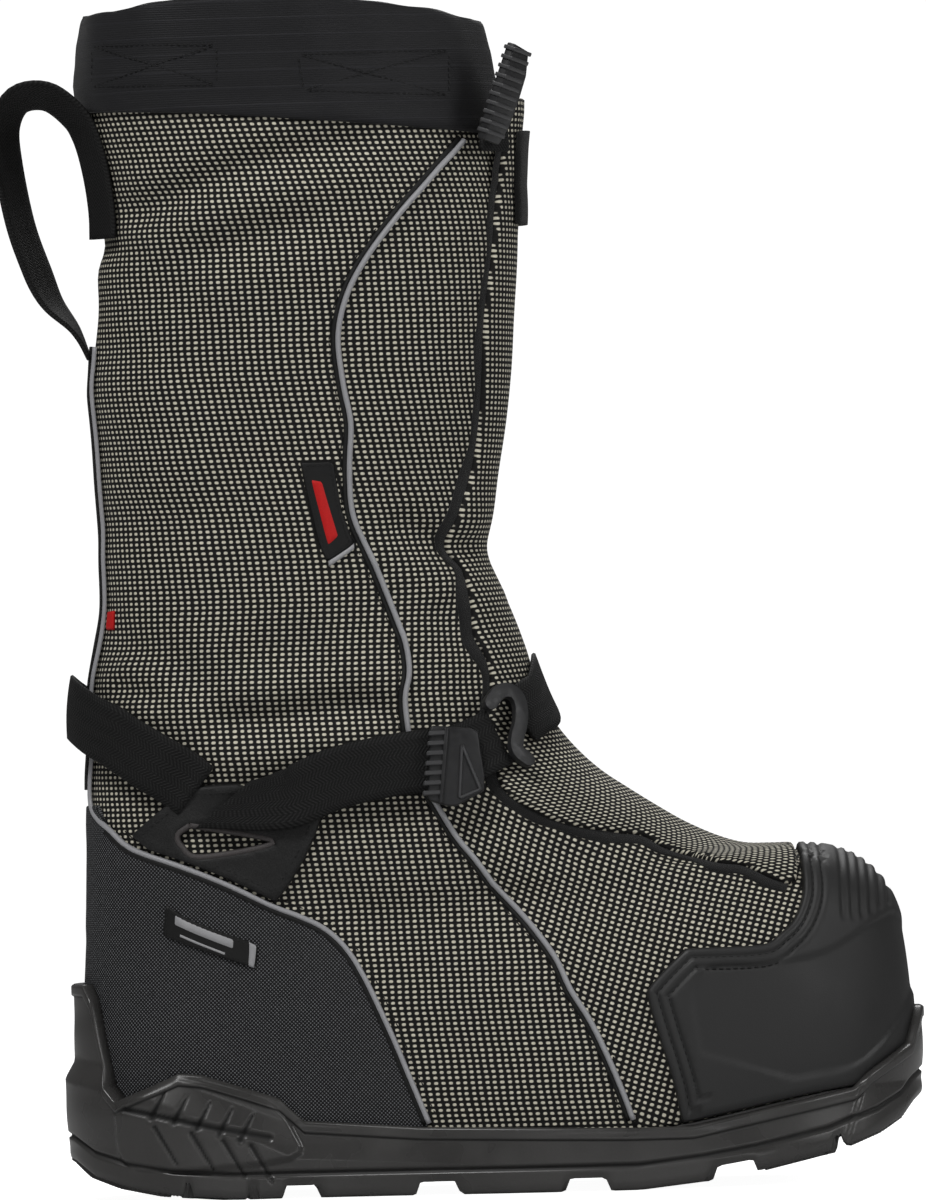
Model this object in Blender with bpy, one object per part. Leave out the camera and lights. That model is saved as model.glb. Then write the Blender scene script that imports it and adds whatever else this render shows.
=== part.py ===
"""Winter overshoe: a tall insulated cloth boot on a lugged rubber sole, worn over a work boot.

Right shoe. +X points to the toe, +Y to the inner side of the foot, +Z up.
The origin lies on the floor, under the middle of the sole.
Every length is in millimetres until a mesh is made.
"""
import math

import bmesh
import bpy
import numpy as np

MM = 0.001

# Driving sizes
SOLE_LENGTH = 350.0
BOOT_HEIGHT = 489.0
FOOTBED = 22.0
BALL_WIDTH = 132.0
SHAFT_WIDTH = 124.0
WALL = 3.0
GAP = 0.4
COARSE_GAP = 0.75
SEAT_GAP = 0.6
SEAT_LEVELS = (1.0, 0.66, 0.33, 0.0)
UPPER_HEIGHT = BOOT_HEIGHT - FOOTBED

# Thicknesses of what lies on the upper
CAP_THICK = 3.0
COUNTER_THICK = 1.4
CUFF_THICK = 2.4
FLAP_THICK = 3.0
TAB_THICK = 2.0
LABEL_THICK = 0.9
STRAP_THICK = 1.8
STRAP_WIDTH = 25.0
PIPING_WIDTH = 3.4
PIPING_THICK = 2.0
PIPING_STEP = 16.0
PIPING_ROUND = 0.7
SEAM_SHIFT = 0.3
CUT_MARGIN = 2.0
INSOLE_THICK = 3.0
INSOLE_EASE = 0.9

# Sole
SOLE_LIP = 4.5
TREAD_DEPTH = 5.5
LEVEL_SPACE = 0.5
SEAT_REACH = 16.0
CHANNEL_DEPTH = 4.0
CHANNEL_WIDTH = 6.0
CHANNEL_OFFSET = 22.0
CHANNEL_OVERLAP = 1.0
CUT_REACH = 20.0
EDGE_PROBE_HEIGHT = 40.0
EDGE_PROBE_OUTSET = 3.0
WING_RAISE = 1.6
WING_ROOT = 2.6
WING_LOW = 2.0
WING_HIGH = 62.0
WING_LEVELS = 9
GROOVE_WIDTH = 1.8
SLIT_DEPTH = 1.2
SLIT_REACH = 6.0

# Shape of the sections
ROUNDNESS = 2.25
TOE_SWING = 8.0
WAIST_INNER = 5.0
WAIST_OUTER = 1.5
RIM_CROWN = 0.019 * UPPER_HEIGHT
COLUMNS = 36
INNER_ROW_STEP = 3

# Sections of the last, from the sole up. Each is a ring that seems a straight line from the side.
# Lengths along X are shares of SOLE_LENGTH from the heel, heights are shares of UPPER_HEIGHT above
# the footbed, curl is how far the toe end bends up, and widths are shares of half the ball width
# (of half the shaft width higher up). The rounds are the shares of a ring that close its two ends.
# name, back x, back z, front x, front z, curl, heel half, ball half, back round, front round
SECTIONS = [
    ("feather", 0.034, 0.000, 0.980, 0.039, 0.039, 0.697, 0.955, 0.160, 0.270),
    ("welt", 0.031, 0.026, 0.987, 0.066, 0.026, 0.702, 0.962, 0.165, 0.270),
    ("bumper", 0.031, 0.051, 0.989, 0.096, 0.017, 0.705, 0.955, 0.170, 0.270),
    ("toe_low", 0.030, 0.075, 0.986, 0.131, 0.010, 0.709, 0.936, 0.175, 0.270),
    ("toe_mid", 0.030, 0.096, 0.981, 0.163, 0.004, 0.712, 0.909, 0.180, 0.275),
    ("toe_high", 0.031, 0.113, 0.974, 0.188, 0.000, 0.712, 0.871, 0.190, 0.280),
    ("toe_turn", 0.031, 0.128, 0.960, 0.210, 0.000, 0.712, 0.826, 0.200, 0.290),
    ("toe_dome", 0.031, 0.141, 0.940, 0.226, 0.000, 0.712, 0.780, 0.210, 0.295),
    ("toe_top", 0.032, 0.154, 0.913, 0.237, 0.000, 0.712, 0.750, 0.220, 0.300),
    ("cap_back", 0.033, 0.167, 0.877, 0.242, 0.000, 0.712, 0.742, 0.230, 0.300),
    ("vamp_1", 0.034, 0.180, 0.840, 0.242, 0.000, 0.712, 0.750, 0.240, 0.300),
    ("vamp_2", 0.034, 0.193, 0.803, 0.243, 0.000, 0.712, 0.765, 0.250, 0.310),
    ("vamp_3", 0.035, 0.208, 0.769, 0.250, 0.000, 0.720, 0.776, 0.260, 0.320),
    ("vamp_4", 0.036, 0.225, 0.734, 0.262, 0.000, 0.727, 0.785, 0.270, 0.330),
    ("vamp_5", 0.037, 0.242, 0.700, 0.277, 0.000, 0.735, 0.788, 0.280, 0.340),
    ("vamp_6", 0.038, 0.261, 0.666, 0.293, 0.000, 0.742, 0.788, 0.295, 0.350),
    ("instep_1", 0.038, 0.281, 0.634, 0.310, 0.000, 0.743, 0.788, 0.310, 0.360),
    ("instep_2", 0.039, 0.302, 0.607, 0.330, 0.000, 0.749, 0.785, 0.325, 0.370),
    ("instep_3", 0.039, 0.325, 0.586, 0.351, 0.000, 0.754, 0.784, 0.340, 0.380),
    ("instep_4", 0.040, 0.351, 0.569, 0.375, 0.000, 0.761, 0.782, 0.360, 0.395),
    ("ankle_1", 0.041, 0.377, 0.556, 0.398, 0.000, 0.767, 0.782, 0.380, 0.410),
    ("ankle_2", 0.046, 0.405, 0.544, 0.424, 0.000, 0.774, 0.785, 0.400, 0.425),
    ("ankle_3", 0.054, 0.435, 0.531, 0.452, 0.000, 0.784, 0.789, 0.420, 0.440),
    ("ankle_4", 0.063, 0.465, 0.517, 0.479, 0.000, 0.796, 0.796, 0.440, 0.455),
    ("ankle_5", 0.066, 0.493, 0.505, 0.501, 0.000, 0.808, 0.808, 0.460, 0.470),
    ("pinch", 0.066, 0.518, 0.502, 0.519, 0.000, 0.820, 0.820, 0.480, 0.485),
    ("shaft_1", 0.064, 0.548, 0.510, 0.545, 0.000, 0.836, 0.836, 0.500, 0.500),
    ("shaft_2", 0.060, 0.587, 0.518, 0.582, 0.000, 0.859, 0.859, 0.500, 0.500),
    ("shaft_3", 0.057, 0.634, 0.529, 0.625, 0.000, 0.887, 0.887, 0.500, 0.500),
    ("shaft_4", 0.056, 0.681, 0.538, 0.672, 0.000, 0.911, 0.911, 0.500, 0.500),
    ("shaft_5", 0.064, 0.728, 0.543, 0.715, 0.000, 0.934, 0.934, 0.500, 0.500),
    ("shaft_6", 0.070, 0.777, 0.548, 0.762, 0.000, 0.952, 0.952, 0.500, 0.500),
    ("shaft_7", 0.072, 0.816, 0.549, 0.801, 0.000, 0.967, 0.967, 0.500, 0.500),
    ("shaft_8", 0.067, 0.852, 0.546, 0.833, 0.000, 0.977, 0.977, 0.500, 0.500),
    ("cuff_low", 0.057, 0.889, 0.540, 0.867, 0.000, 0.989, 0.989, 0.500, 0.500),
    ("cuff_mid", 0.050, 0.921, 0.534, 0.906, 0.000, 1.000, 1.000, 0.500, 0.500),
    ("cuff_high", 0.053, 0.955, 0.526, 0.942, 0.000, 1.000, 1.000, 0.500, 0.500),
    ("rim", 0.061, 0.987, 0.516, 0.974, 0.000, 0.992, 0.992, 0.500, 0.500),
]

# Lines on the side of the upper, as shares of SOLE_LENGTH from the heel and of UPPER_HEIGHT
SOLE_EDGE = [
    (-0.010, 0.142), (0.017, 0.142), (0.025, 0.129), (0.044, 0.054), (0.056, 0.041),
    (0.122, 0.064), (0.149, 0.062), (0.242, 0.040), (0.272, 0.020), (0.415, 0.012),
    (0.663, 0.007), (0.740, 0.007), (0.930, 0.035), (0.945, 0.048), (0.986, 0.071),
    (0.998, 0.103), (1.020, 0.103),
]
COUNTER_LINE = [
    (0.426, 0.015), (0.404, 0.057), (0.385, 0.093), (0.355, 0.143), (0.333, 0.170),
    (0.309, 0.187), (0.281, 0.198), (0.252, 0.207), (0.199, 0.227), (0.146, 0.244),
    (0.091, 0.260), (0.064, 0.278), (0.051, 0.299),
]
SIDE_LINE = [
    (0.496, 0.870), (0.412, 0.800), (0.373, 0.761), (0.353, 0.730), (0.345, 0.698),
    (0.350, 0.658), (0.357, 0.626), (0.354, 0.588), (0.356, 0.548), (0.372, 0.516),
    (0.392, 0.478), (0.411, 0.437), (0.416, 0.408), (0.411, 0.383), (0.418, 0.340),
    (0.432, 0.310), (0.449, 0.286), (0.467, 0.263), (0.488, 0.243), (0.509, 0.221),
    (0.531, 0.202), (0.553, 0.182), (0.578, 0.155), (0.594, 0.128), (0.616, 0.100),
    (0.636, 0.067), (0.653, 0.034), (0.662, 0.014),
]
FLAP_LINE = [
    (0.529, 0.860), (0.529, 0.829), (0.524, 0.773), (0.514, 0.717), (0.506, 0.638),
    (0.492, 0.582), (0.473, 0.545), (0.463, 0.517), (0.477, 0.495), (0.487, 0.463),
    (0.494, 0.435), (0.509, 0.405), (0.509, 0.349), (0.517, 0.310), (0.535, 0.293),
    (0.568, 0.278), (0.604, 0.268), (0.651, 0.261), (0.682, 0.257), (0.705, 0.247),
    (0.735, 0.239), (0.772, 0.232), (0.799, 0.229), (0.829, 0.218), (0.850, 0.212),
]
CAP_LINE = [
    (0.720, 0.013), (0.697, 0.078), (0.683, 0.118), (0.687, 0.130), (0.725, 0.158),
    (0.735, 0.161), (0.815, 0.162), (0.838, 0.171), (0.854, 0.182), (0.865, 0.200),
    (0.867, 0.217), (0.864, 0.260),
]
CUFF_LINE = [(-0.050, 0.912), (0.038, 0.906), (0.189, 0.899), (0.341, 0.889), (0.527, 0.876), (0.700, 0.868)]
TAB_TOP = [(0.090, 0.272), (0.156, 0.314), (0.214, 0.315), (0.312, 0.290), (0.308, 0.278), (0.258, 0.214)]
TAB_SLOT = [(0.158, 0.280), (0.144, 0.272), (0.148, 0.262), (0.170, 0.252), (0.254, 0.264)]
SIDE_LABEL = [(0.297, 0.593), (0.336, 0.593), (0.344, 0.550), (0.357, 0.521), (0.325, 0.506)]
HEEL_LABEL = [(0.128, 0.213), (0.233, 0.175), (0.229, 0.153), (0.124, 0.184)]

# Middles of the straps on the outer side, and the heights where they cross the front and the back
TAB_STRAP_LINE = [(0.229, 0.278), (0.277, 0.302), (0.329, 0.317), (0.397, 0.327), (0.466, 0.332), (0.512, 0.346)]
HEEL_STRAP_LINE = [(0.196, 0.294), (0.134, 0.328), (0.071, 0.362)]
HEEL_STRAP_BACK = 0.383
FRONT_STRAP_LINE = [(0.534, 0.362), (0.560, 0.376)]
FRONT_STRAP_FRONT = 0.392
STRAP_SLACK = 3.5
SLACK_SPREAD = 0.35
STRAP_EASE = 0.5
STRAP_LIFT = 2 * GAP + FLAP_THICK + STRAP_EASE
HEEL_STRAP_LIFT = COARSE_GAP + TAB_THICK + 2 * STRAP_EASE

# The sole flares outwards. Share along the foot, lower and upper outset, heights between them
SOLE_FLARE = [
    (0.00, 10.5, 6.2, 50.0, 57.0),
    (0.08, 9.0, 5.4, 42.0, 52.0),
    (0.25, 6.8, 4.2, 16.0, 30.0),
    (0.50, 6.2, 3.8, 12.0, 24.0),
    (0.80, 6.2, 3.8, 12.0, 24.0),
    (0.93, 6.6, 4.2, 20.0, 36.0),
    (1.00, 7.0, 4.3, 36.0, 62.0),
]
# Height of the bottom of the lugs, along the foot: share of SOLE_LENGTH, millimetres
SOLE_BOTTOM = [
    (-0.020, 19.0), (0.010, 16.0), (0.030, 9.8), (0.065, 5.3), (0.113, 2.0), (0.153, 0.9),
    (0.185, 0.0), (0.672, 0.0), (0.751, 2.8), (0.814, 6.2), (0.897, 12.4), (0.951, 19.5),
    (0.977, 25.0), (0.990, 31.0), (1.010, 37.0),
]
# Steps of the side wall: distance above the lugs' bottom or below the top edge, and how deep
SIDE_STEPS_LOW = [(0.0, 2.6), (1.4, 0.6), (TREAD_DEPTH, 0.0), (8.6, 0.0), (9.4, 1.3), (11.0, 1.3), (11.8, 0.0)]
SIDE_STEPS_HIGH = [(SOLE_LIP + 1.0, 0.0), (SOLE_LIP, -1.0), (0.9, -1.0), (0.0, -0.2)]

# Gaps between the side lugs and between the middle lugs: share of SOLE_LENGTH, width
SIDE_GAPS = [(0.129, 4.0), (0.206, 6.0), (0.270, 20.0), (0.434, 20.0), (0.610, 21.0), (0.783, 22.0), (0.906, 6.0)]
MIDDLE_GAPS = [(0.170, 8.0), (0.351, 8.0), (0.540, 8.0), (0.700, 8.0), (0.843, 8.0)]

# The raised wing on each side of the heel, and the slits across it
WING_OUTLINE = [
    (0.062, 0.028), (0.071, 0.040), (0.124, 0.058), (0.150, 0.056), (0.236, 0.036),
    (0.268, 0.010), (0.262, -0.012), (0.120, -0.020), (0.070, -0.010),
]
WING_GROOVE = [(0.082, 0.036), (0.216, 0.012)]
SLIT_ROWS = [
    # start x, start z, step x, step z, run x, run z, count, wide
    (0.120, 0.056, 0.026, -0.0045, 0.014, -0.018, 5, 2.0),
]

# Hard parts
BUCKLE_PLACE = (0.464, 0.322)
BUCKLE_LENGTH = 27.0
BUCKLE_HEIGHT = 33.0
BUCKLE_THICK = 4.0
BUCKLE_RIBS = 7
BUCKLE_TILT = math.radians(-12.0)
BUCKLE_EASE = 0.3
RIB_SIZE = 2.2
HOOK_PLACE = (0.529, 0.353)
HOOK_WIDTH = 6.0
HOOK_THICK = 3.0
HOOK_EASE = 0.3
HOOK_PATH = [(-10.0, 10.0), (-4.0, 14.5), (2.0, 14.0), (4.5, 9.0), (2.5, 1.0), (-1.5, -6.0), (-2.5, -11.0), (1.5, -15.0)]
TOP_BUCKLE_FOOT = 0.873
TOP_BUCKLE_TURN = 0.852 * math.pi
TOP_BUCKLE_DROP = 4.0
TOP_STRAP_TURNS = (-0.10, -0.03, 0.04, 0.11)
TOP_STRAP_HALF = 7.0
TOP_STRAP_LIFT = FLAP_THICK + GAP
TOP_BUCKLE_SEAT = 1.0
TOP_BUCKLE_LENGTH = 42.0
TOP_BUCKLE_WIDTH = 20.0
TOP_BUCKLE_THICK = 5.0
TOP_BUCKLE_LEAN = math.radians(19.5)
TOP_TAB_LOW = 0.797
TOP_TAB_HIGH = 0.876
TOP_TAB_HALF = 19.0
TOP_TAB_THICK = 4.0
FLAP_LEAN = [(0.0, 0.0), (0.790, 0.0), (0.830, 1.5), (0.876, 6.0), (0.906, 9.5), (1.2, 9.5)]
LEAN_FROM = 0.78 * math.pi
LEAN_FULL = 0.96 * math.pi
LEAN_EDGE = 0.35
FLAP_TOP = 0.905

HEEL_PIPING_UP = (0.34, 0.42, 0.50, 0.58, 0.66, 0.676)

# Pull loop at the back: distance behind the upper's back line, height share
LOOP_PATH = [
    (1.6, 0.690), (9.0, 0.716), (20.0, 0.742), (28.0, 0.776), (34.0, 0.812), (35.5, 0.862),
    (33.5, 0.896), (27.0, 0.918), (16.0, 0.920), (7.0, 0.902), (4.2, 0.888),
]
LOOP_THICK = 2.0
STRIP_TOP = 0.684
STRIP_THICK = 1.5
TAG_HEIGHT = 0.461
TAG_SIZE = 7.0

# Middle rows of the upper where its two scale widths meet
SHAFT_FROM = 0.4
SHAFT_TO = 0.9


def smooth(low, high, value):
    share = np.clip((value - low) / (high - low), 0.0, 1.0)
    return share * share * (3.0 - 2.0 * share)


def along(share):
    """X of a share of the sole's length."""
    return (np.asarray(share, dtype=float) - 0.5) * SOLE_LENGTH


def height(share):
    """Z of a share of the upper's height."""
    return FOOTBED + np.asarray(share, dtype=float) * UPPER_HEIGHT


def section_table():
    rows = []
    last = len(SECTIONS) - 1
    for index, section in enumerate(SECTIONS):
        _, back_x, back_z, front_x, front_z, curl, heel, ball, back_round, front_round = section
        blend = smooth(SHAFT_FROM, SHAFT_TO, index / last)
        half = 0.5 * (BALL_WIDTH + (SHAFT_WIDTH - BALL_WIDTH) * blend)
        rows.append((along(back_x), height(back_z), along(front_x), height(front_z), curl * UPPER_HEIGHT,
                     heel * half, ball * half, back_round, front_round))
    return np.array(rows, dtype=float)


TABLE = section_table()
LAST_ROW = len(TABLE) - 1


def sections_at(row):
    """Catmull-Rom values of the section table at rows that needn't be whole."""
    row = np.clip(np.asarray(row, dtype=float), 0.0, LAST_ROW)
    base = np.minimum(row.astype(int), LAST_ROW - 1)
    f = (row - base)[..., None]
    before = TABLE[np.maximum(base - 1, 0)]
    start = TABLE[base]
    end = TABLE[base + 1]
    after = TABLE[np.minimum(base + 2, LAST_ROW)]
    values = 0.5 * (2 * start + (end - before) * f + (2 * before - 5 * start + 4 * end - after) * f ** 2
                    + (3 * start - before - 3 * end + after) * f ** 3)
    return np.moveaxis(values, -1, 0)


def closure(share):
    """Half width of a ring's end, as a share, from its tip on."""
    return (1.0 - (1.0 - np.clip(share, 0.0, 1.0)) ** ROUNDNESS) ** (1.0 / ROUNDNESS)


def base_surface(turn, row):
    """Point of the upper's outer face. turn is 0 at the back, pi at the front, between them outside."""
    turn, row = np.broadcast_arrays(np.asarray(turn, dtype=float), np.asarray(row, dtype=float))
    back_x, back_z, front_x, front_z, curl, heel, ball, back_round, front_round = sections_at(row)
    t = 0.5 - 0.5 * np.cos(turn)
    side = -np.sign(np.sin(turn))
    x = back_x + (front_x - back_x) * t
    z = back_z + (front_z - curl - back_z) * t + curl * smooth(0.6, 1.0, t)
    z = z + RIM_CROWN * smooth(LAST_ROW - 4, LAST_ROW, row) * np.sin(math.pi * t)
    half = heel + (ball - heel) * smooth(0.2, 0.65, t)
    low = 1.0 - smooth(6.0, 15.0, row)
    waist = np.exp(-((t - 0.42) / 0.15) ** 2) * low
    half = half - waist * np.where(side > 0, WAIST_INNER, WAIST_OUTER)
    half = half * closure(t / back_round) * closure((1.0 - t) / front_round)
    swing = TOE_SWING * smooth(0.45, 1.0, t) * (1.0 - smooth(7.0, 20.0, row))
    return np.stack([x, side * half + swing, z], axis=-1)


def surface(turn, row, lift=0.0):
    """Point at a distance outside the upper's face, along its normal."""
    turn, row = np.broadcast_arrays(np.asarray(turn, dtype=float), np.asarray(row, dtype=float))
    point = base_surface(turn, row)
    around, up = slopes(turn, row)
    normal = np.cross(around, up)
    normal = normal / np.linalg.norm(normal, axis=-1, keepdims=True)
    return point + normal * np.asarray(lift, dtype=float)[..., None]


def slopes(turn, row):
    step = 0.02
    around = (base_surface(turn + step, row) - base_surface(turn - step, row)) / (2 * step)
    above = np.minimum(row + step, LAST_ROW)
    below = np.maximum(row - step, 0.0)
    up = (base_surface(turn, above) - base_surface(turn, below)) / (above - below)[..., None]
    return around, up


def locate(x, z):
    """Turn and row of the outer side's point that is seen at x, z from the side."""
    low = 0.0
    high = float(LAST_ROW)
    for _ in range(40):
        middle = 0.5 * (low + high)
        turn = turn_at(x, middle)
        if base_surface(turn, middle)[2] < z:
            low = middle
        else:
            high = middle
    return turn_at(x, low), low


def turn_at(x, row):
    values = sections_at(row)
    t = np.clip((x - values[0]) / (values[2] - values[0]), 0.0, 1.0)
    return float(np.arccos(1.0 - 2.0 * t))


def row_at(turn, z):
    rows = np.linspace(0.0, LAST_ROW, 8 * LAST_ROW + 1)
    heights = base_surface(turn, rows)[:, 2]
    return float(np.interp(z, heights, rows))


def walk(turn, row, direction, distance, steps=3):
    """Move over the surface along a direction, and give the new turn and row."""
    for _ in range(steps):
        around, up = slopes(np.array(turn), np.array(row))
        basis = np.stack([around, up], axis=1)
        move, *_ = np.linalg.lstsq(basis, direction * distance / steps, rcond=None)
        turn = turn + move[0]
        row = min(max(row + move[1], 0.0), float(LAST_ROW))
    return turn, row


def make_material(name, colour, roughness, metallic=0.0):
    material = bpy.data.materials.new(name)
    material.use_nodes = True
    shader = material.node_tree.nodes["Principled BSDF"]
    shader.inputs["Base Color"].default_value = (*colour, 1.0)
    shader.inputs["Roughness"].default_value = roughness
    shader.inputs["Metallic"].default_value = metallic
    return material


def make_object(name, points, faces, material=None, guide=False):
    mesh = bpy.data.meshes.new(name)
    mesh.from_pydata([tuple(MM * float(c) for c in point) for point in points], [], faces)
    work = bmesh.new()
    work.from_mesh(mesh)
    bmesh.ops.recalc_face_normals(work, faces=work.faces)
    work.to_mesh(mesh)
    work.free()
    obj = bpy.data.objects.new(name, mesh)
    bpy.context.scene.collection.objects.link(obj)
    if material:
        mesh.materials.append(material)
    if guide:
        obj.hide_render = True
        obj.display_type = "WIRE"
    return obj


def boolean(obj, operation, cutter):
    modifier = obj.modifiers.new(operation.lower(), "BOOLEAN")
    modifier.operation = operation
    modifier.solver = "EXACT"
    modifier.object = cutter


def prism(name, outlines, low_y, high_y):
    """Guide solid: side outlines, in millimetres, run across the shoe."""
    points = []
    faces = []
    for outline in outlines:
        base = len(points)
        count = len(outline)
        points += [(x, low_y, z) for x, z in outline]
        points += [(x, high_y, z) for x, z in outline]
        faces.append(tuple(base + i for i in range(count)))
        faces.append(tuple(base + count + i for i in range(count)))
        for i in range(count):
            j = (i + 1) % count
            faces.append((base + i, base + j, base + count + j, base + count + i))
    return make_object(name, points, faces, guide=True)


def grid_faces(rows, columns, ring, first=0, flip_from=None):
    """Triangles of a grid. The diagonals mirror at flip_from, so both sides fold alike."""
    faces = []
    for i in range(rows - 1):
        for j in range(columns if ring else columns - 1):
            k = (j + 1) % columns
            a, b = first + i * columns + j, first + i * columns + k
            c, d = b + columns, a + columns
            if flip_from is not None and j >= flip_from:
                faces += [(a, b, d), (b, c, d)]
            else:
                faces += [(a, b, c), (a, c, d)]
    return faces


def closed_sheet(outer, inner, ring, flip_from=None):
    """Points and faces of a sheet between two grids of rows by columns, closed at its edges."""
    rows, columns = outer.shape[:2]
    inner_rows = inner.shape[0]
    points = np.concatenate([outer.reshape(-1, 3), inner.reshape(-1, 3)])
    shift = rows * columns
    faces = grid_faces(rows, columns, ring, 0, flip_from)
    faces += [tuple(reversed(f)) for f in grid_faces(inner_rows, columns, ring, shift, flip_from)]
    for row, inner_row in ((0, 0), (rows - 1, inner_rows - 1)):
        for j in range(columns if ring else columns - 1):
            k = (j + 1) % columns
            a, b = row * columns + j, row * columns + k
            c, d = shift + inner_row * columns + k, shift + inner_row * columns + j
            faces += [(a, b, c), (a, c, d)]
    if not ring:
        for j in (0, columns - 1):
            for i in range(rows - 1):
                a, b = i * columns + j, (i + 1) * columns + j
                faces.append((a, b, shift + b, shift + a))
    return points, faces


def ring_turns():
    return np.arange(COLUMNS) * (2.0 * math.pi / COLUMNS)


def skin(name, low_row, high_row, inner, outer, turns=None, lean=False, material=None, row_step=1):
    """Closed layer of the upper's own form, between two distances outside its face."""
    ring = turns is None
    turns = ring_turns() if ring else turns
    rows = np.arange(low_row, high_row + 1, row_step, dtype=float)
    turn_grid, row_grid = np.meshgrid(turns, rows)
    extra = flap_lean(turn_grid, row_grid) if lean else 0.0
    outside = surface(turn_grid, row_grid, outer + extra)
    inside = surface(turn_grid, row_grid, inner + extra)
    middle = int(np.searchsorted(turns, math.pi - 1e-6))
    points, faces = closed_sheet(outside, inside, ring, middle)
    return make_object(name, points, faces, material)


def flap_lean(turn, row):
    """How far the top of the flap stands off, most at the front's middle."""
    heights = (base_surface(turn, row)[..., 2] - FOOTBED) / UPPER_HEIGHT
    far = np.interp(heights, [low for low, _ in FLAP_LEAN], [far for _, far in FLAP_LEAN])
    away = math.pi - np.abs(np.asarray(turn) - math.pi)
    return far * (LEAN_EDGE + (1.0 - LEAN_EDGE) * smooth(LEAN_FROM, LEAN_FULL, away))


def shares_to_mm(line):
    return [(float(along(x)), float(height(z))) for x, z in line]


def shifted(line, distance):
    """The line moved to its left, in millimetres."""
    points = np.array(line)
    ahead = np.vstack([points[1:], 2 * points[-1:] - points[-2:-1]])
    behind = np.vstack([2 * points[:1] - points[1:2], points[:-1]])
    run = ahead - behind
    run /= np.linalg.norm(run, axis=1, keepdims=True)
    normal = np.stack([-run[:, 1], run[:, 0]], axis=1)
    return [tuple(p) for p in points + normal * distance]


def sole_top(x):
    edge = shares_to_mm(SOLE_EDGE)
    return float(np.interp(x, [a for a, _ in edge], [b for _, b in edge]))


def sole_bottom(x):
    xs = [float(along(a)) for a, _ in SOLE_BOTTOM]
    return float(np.interp(x, xs, [b for _, b in SOLE_BOTTOM]))


def sole_flare(t):
    """Lower outset, upper outset and the heights between them, at a share along the foot."""
    shares = [row[0] for row in SOLE_FLARE]
    return [float(np.interp(t, shares, [row[k] for row in SOLE_FLARE])) for k in (1, 2, 3, 4)]


def sole_outset(t, z):
    """How far the sole's side stands outside the upper at a share along the foot and a height."""
    low, high, start, end = sole_flare(t)
    return low + (high - low) * float(np.clip((z - start) / (end - start), 0.0, 1.0))


def wall_place(turn, z, outset):
    """Point beside the upper at a height, moved sideways from its face."""
    row = row_at(turn, z)
    point = base_surface(turn, row)
    ahead = base_surface(turn + 0.02, row)
    behind = base_surface(turn - 0.02, row)
    run = ahead - behind
    run = run / math.hypot(run[0], run[1])
    return np.array([point[0] + run[1] * outset, point[1] - run[0] * outset, z])


def sole_column(turn):
    """Points of the sole's section at a turn, from the lugs up over the lip and down to the floor."""
    t = 0.5 - 0.5 * math.cos(turn)
    foot = base_surface(turn, 0.0)
    top = sole_top(wall_place(turn, EDGE_PROBE_HEIGHT, EDGE_PROBE_OUTSET)[0])
    outer = wall_place(turn, foot[2], sole_outset(t, foot[2]) - SIDE_STEPS_LOW[0][1])
    bottom = sole_bottom(outer[0])
    levels = [(bottom + up, depth) for up, depth in SIDE_STEPS_LOW]
    lowest = levels[-1][0] + LEVEL_SPACE
    highest = top - SIDE_STEPS_HIGH[0][0] - LEVEL_SPACE
    _, _, start, end = sole_flare(t)
    start = min(max(start, lowest), highest - LEVEL_SPACE)
    levels += [(start, 0.0), (min(max(end, start + LEVEL_SPACE), highest), 0.0)]
    levels += [(top - down, depth) for down, depth in SIDE_STEPS_HIGH]
    points = [wall_place(turn, z, sole_outset(t, z) - depth) for z, depth in levels]
    rim = levels[-1][0]
    floor = foot[2] - GAP
    for share in SEAT_LEVELS:
        points.append(wall_place(turn, floor + (rim - floor) * share, SEAT_GAP))
    return points


def close_across(points, columns, level_start, faces, flip):
    """Strips that close a loop of columns from the outer side to the inner side."""
    half = columns // 2
    for j in range(half):
        a = level_start + j
        b = level_start + j + 1
        c = level_start + (columns - j - 1) % columns
        d = level_start + (columns - j) % columns
        loop = [a, b, c, d]
        loop = [p for k, p in enumerate(loop) if p not in loop[:k]]
        if flip:
            loop.reverse()
        faces.append(tuple(loop[:3]))
        if len(loop) == 4:
            faces.append((loop[0], loop[2], loop[3]))


def sole_seat():
    """Guide solid: all that the sole and a gap over its lip take up."""
    rings = [[], [], [], [], []]
    for turn in ring_turns():
        column = sole_column(turn)
        lip = column[-len(SEAT_LEVELS) - 1]
        brim = column[-len(SEAT_LEVELS)]
        rim = lip[2]
        far = wall_place(turn, rim, SEAT_REACH)
        near = wall_place(turn, rim, -WALL)
        rings[0].append(np.array([far[0], far[1], -1.0]))
        for ring, place in zip(rings[1:], (far, lip, brim, near)):
            ring.append(np.array([place[0], place[1], rim + GAP]))
    points = [point for ring in rings for point in ring]
    faces = grid_faces(len(rings), COLUMNS, True, 0, COLUMNS // 2)
    close_across(points, COLUMNS, 0, faces, True)
    close_across(points, COLUMNS, (len(rings) - 1) * COLUMNS, faces, False)
    return make_object("sole_seat", points, faces, guide=True)


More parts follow.
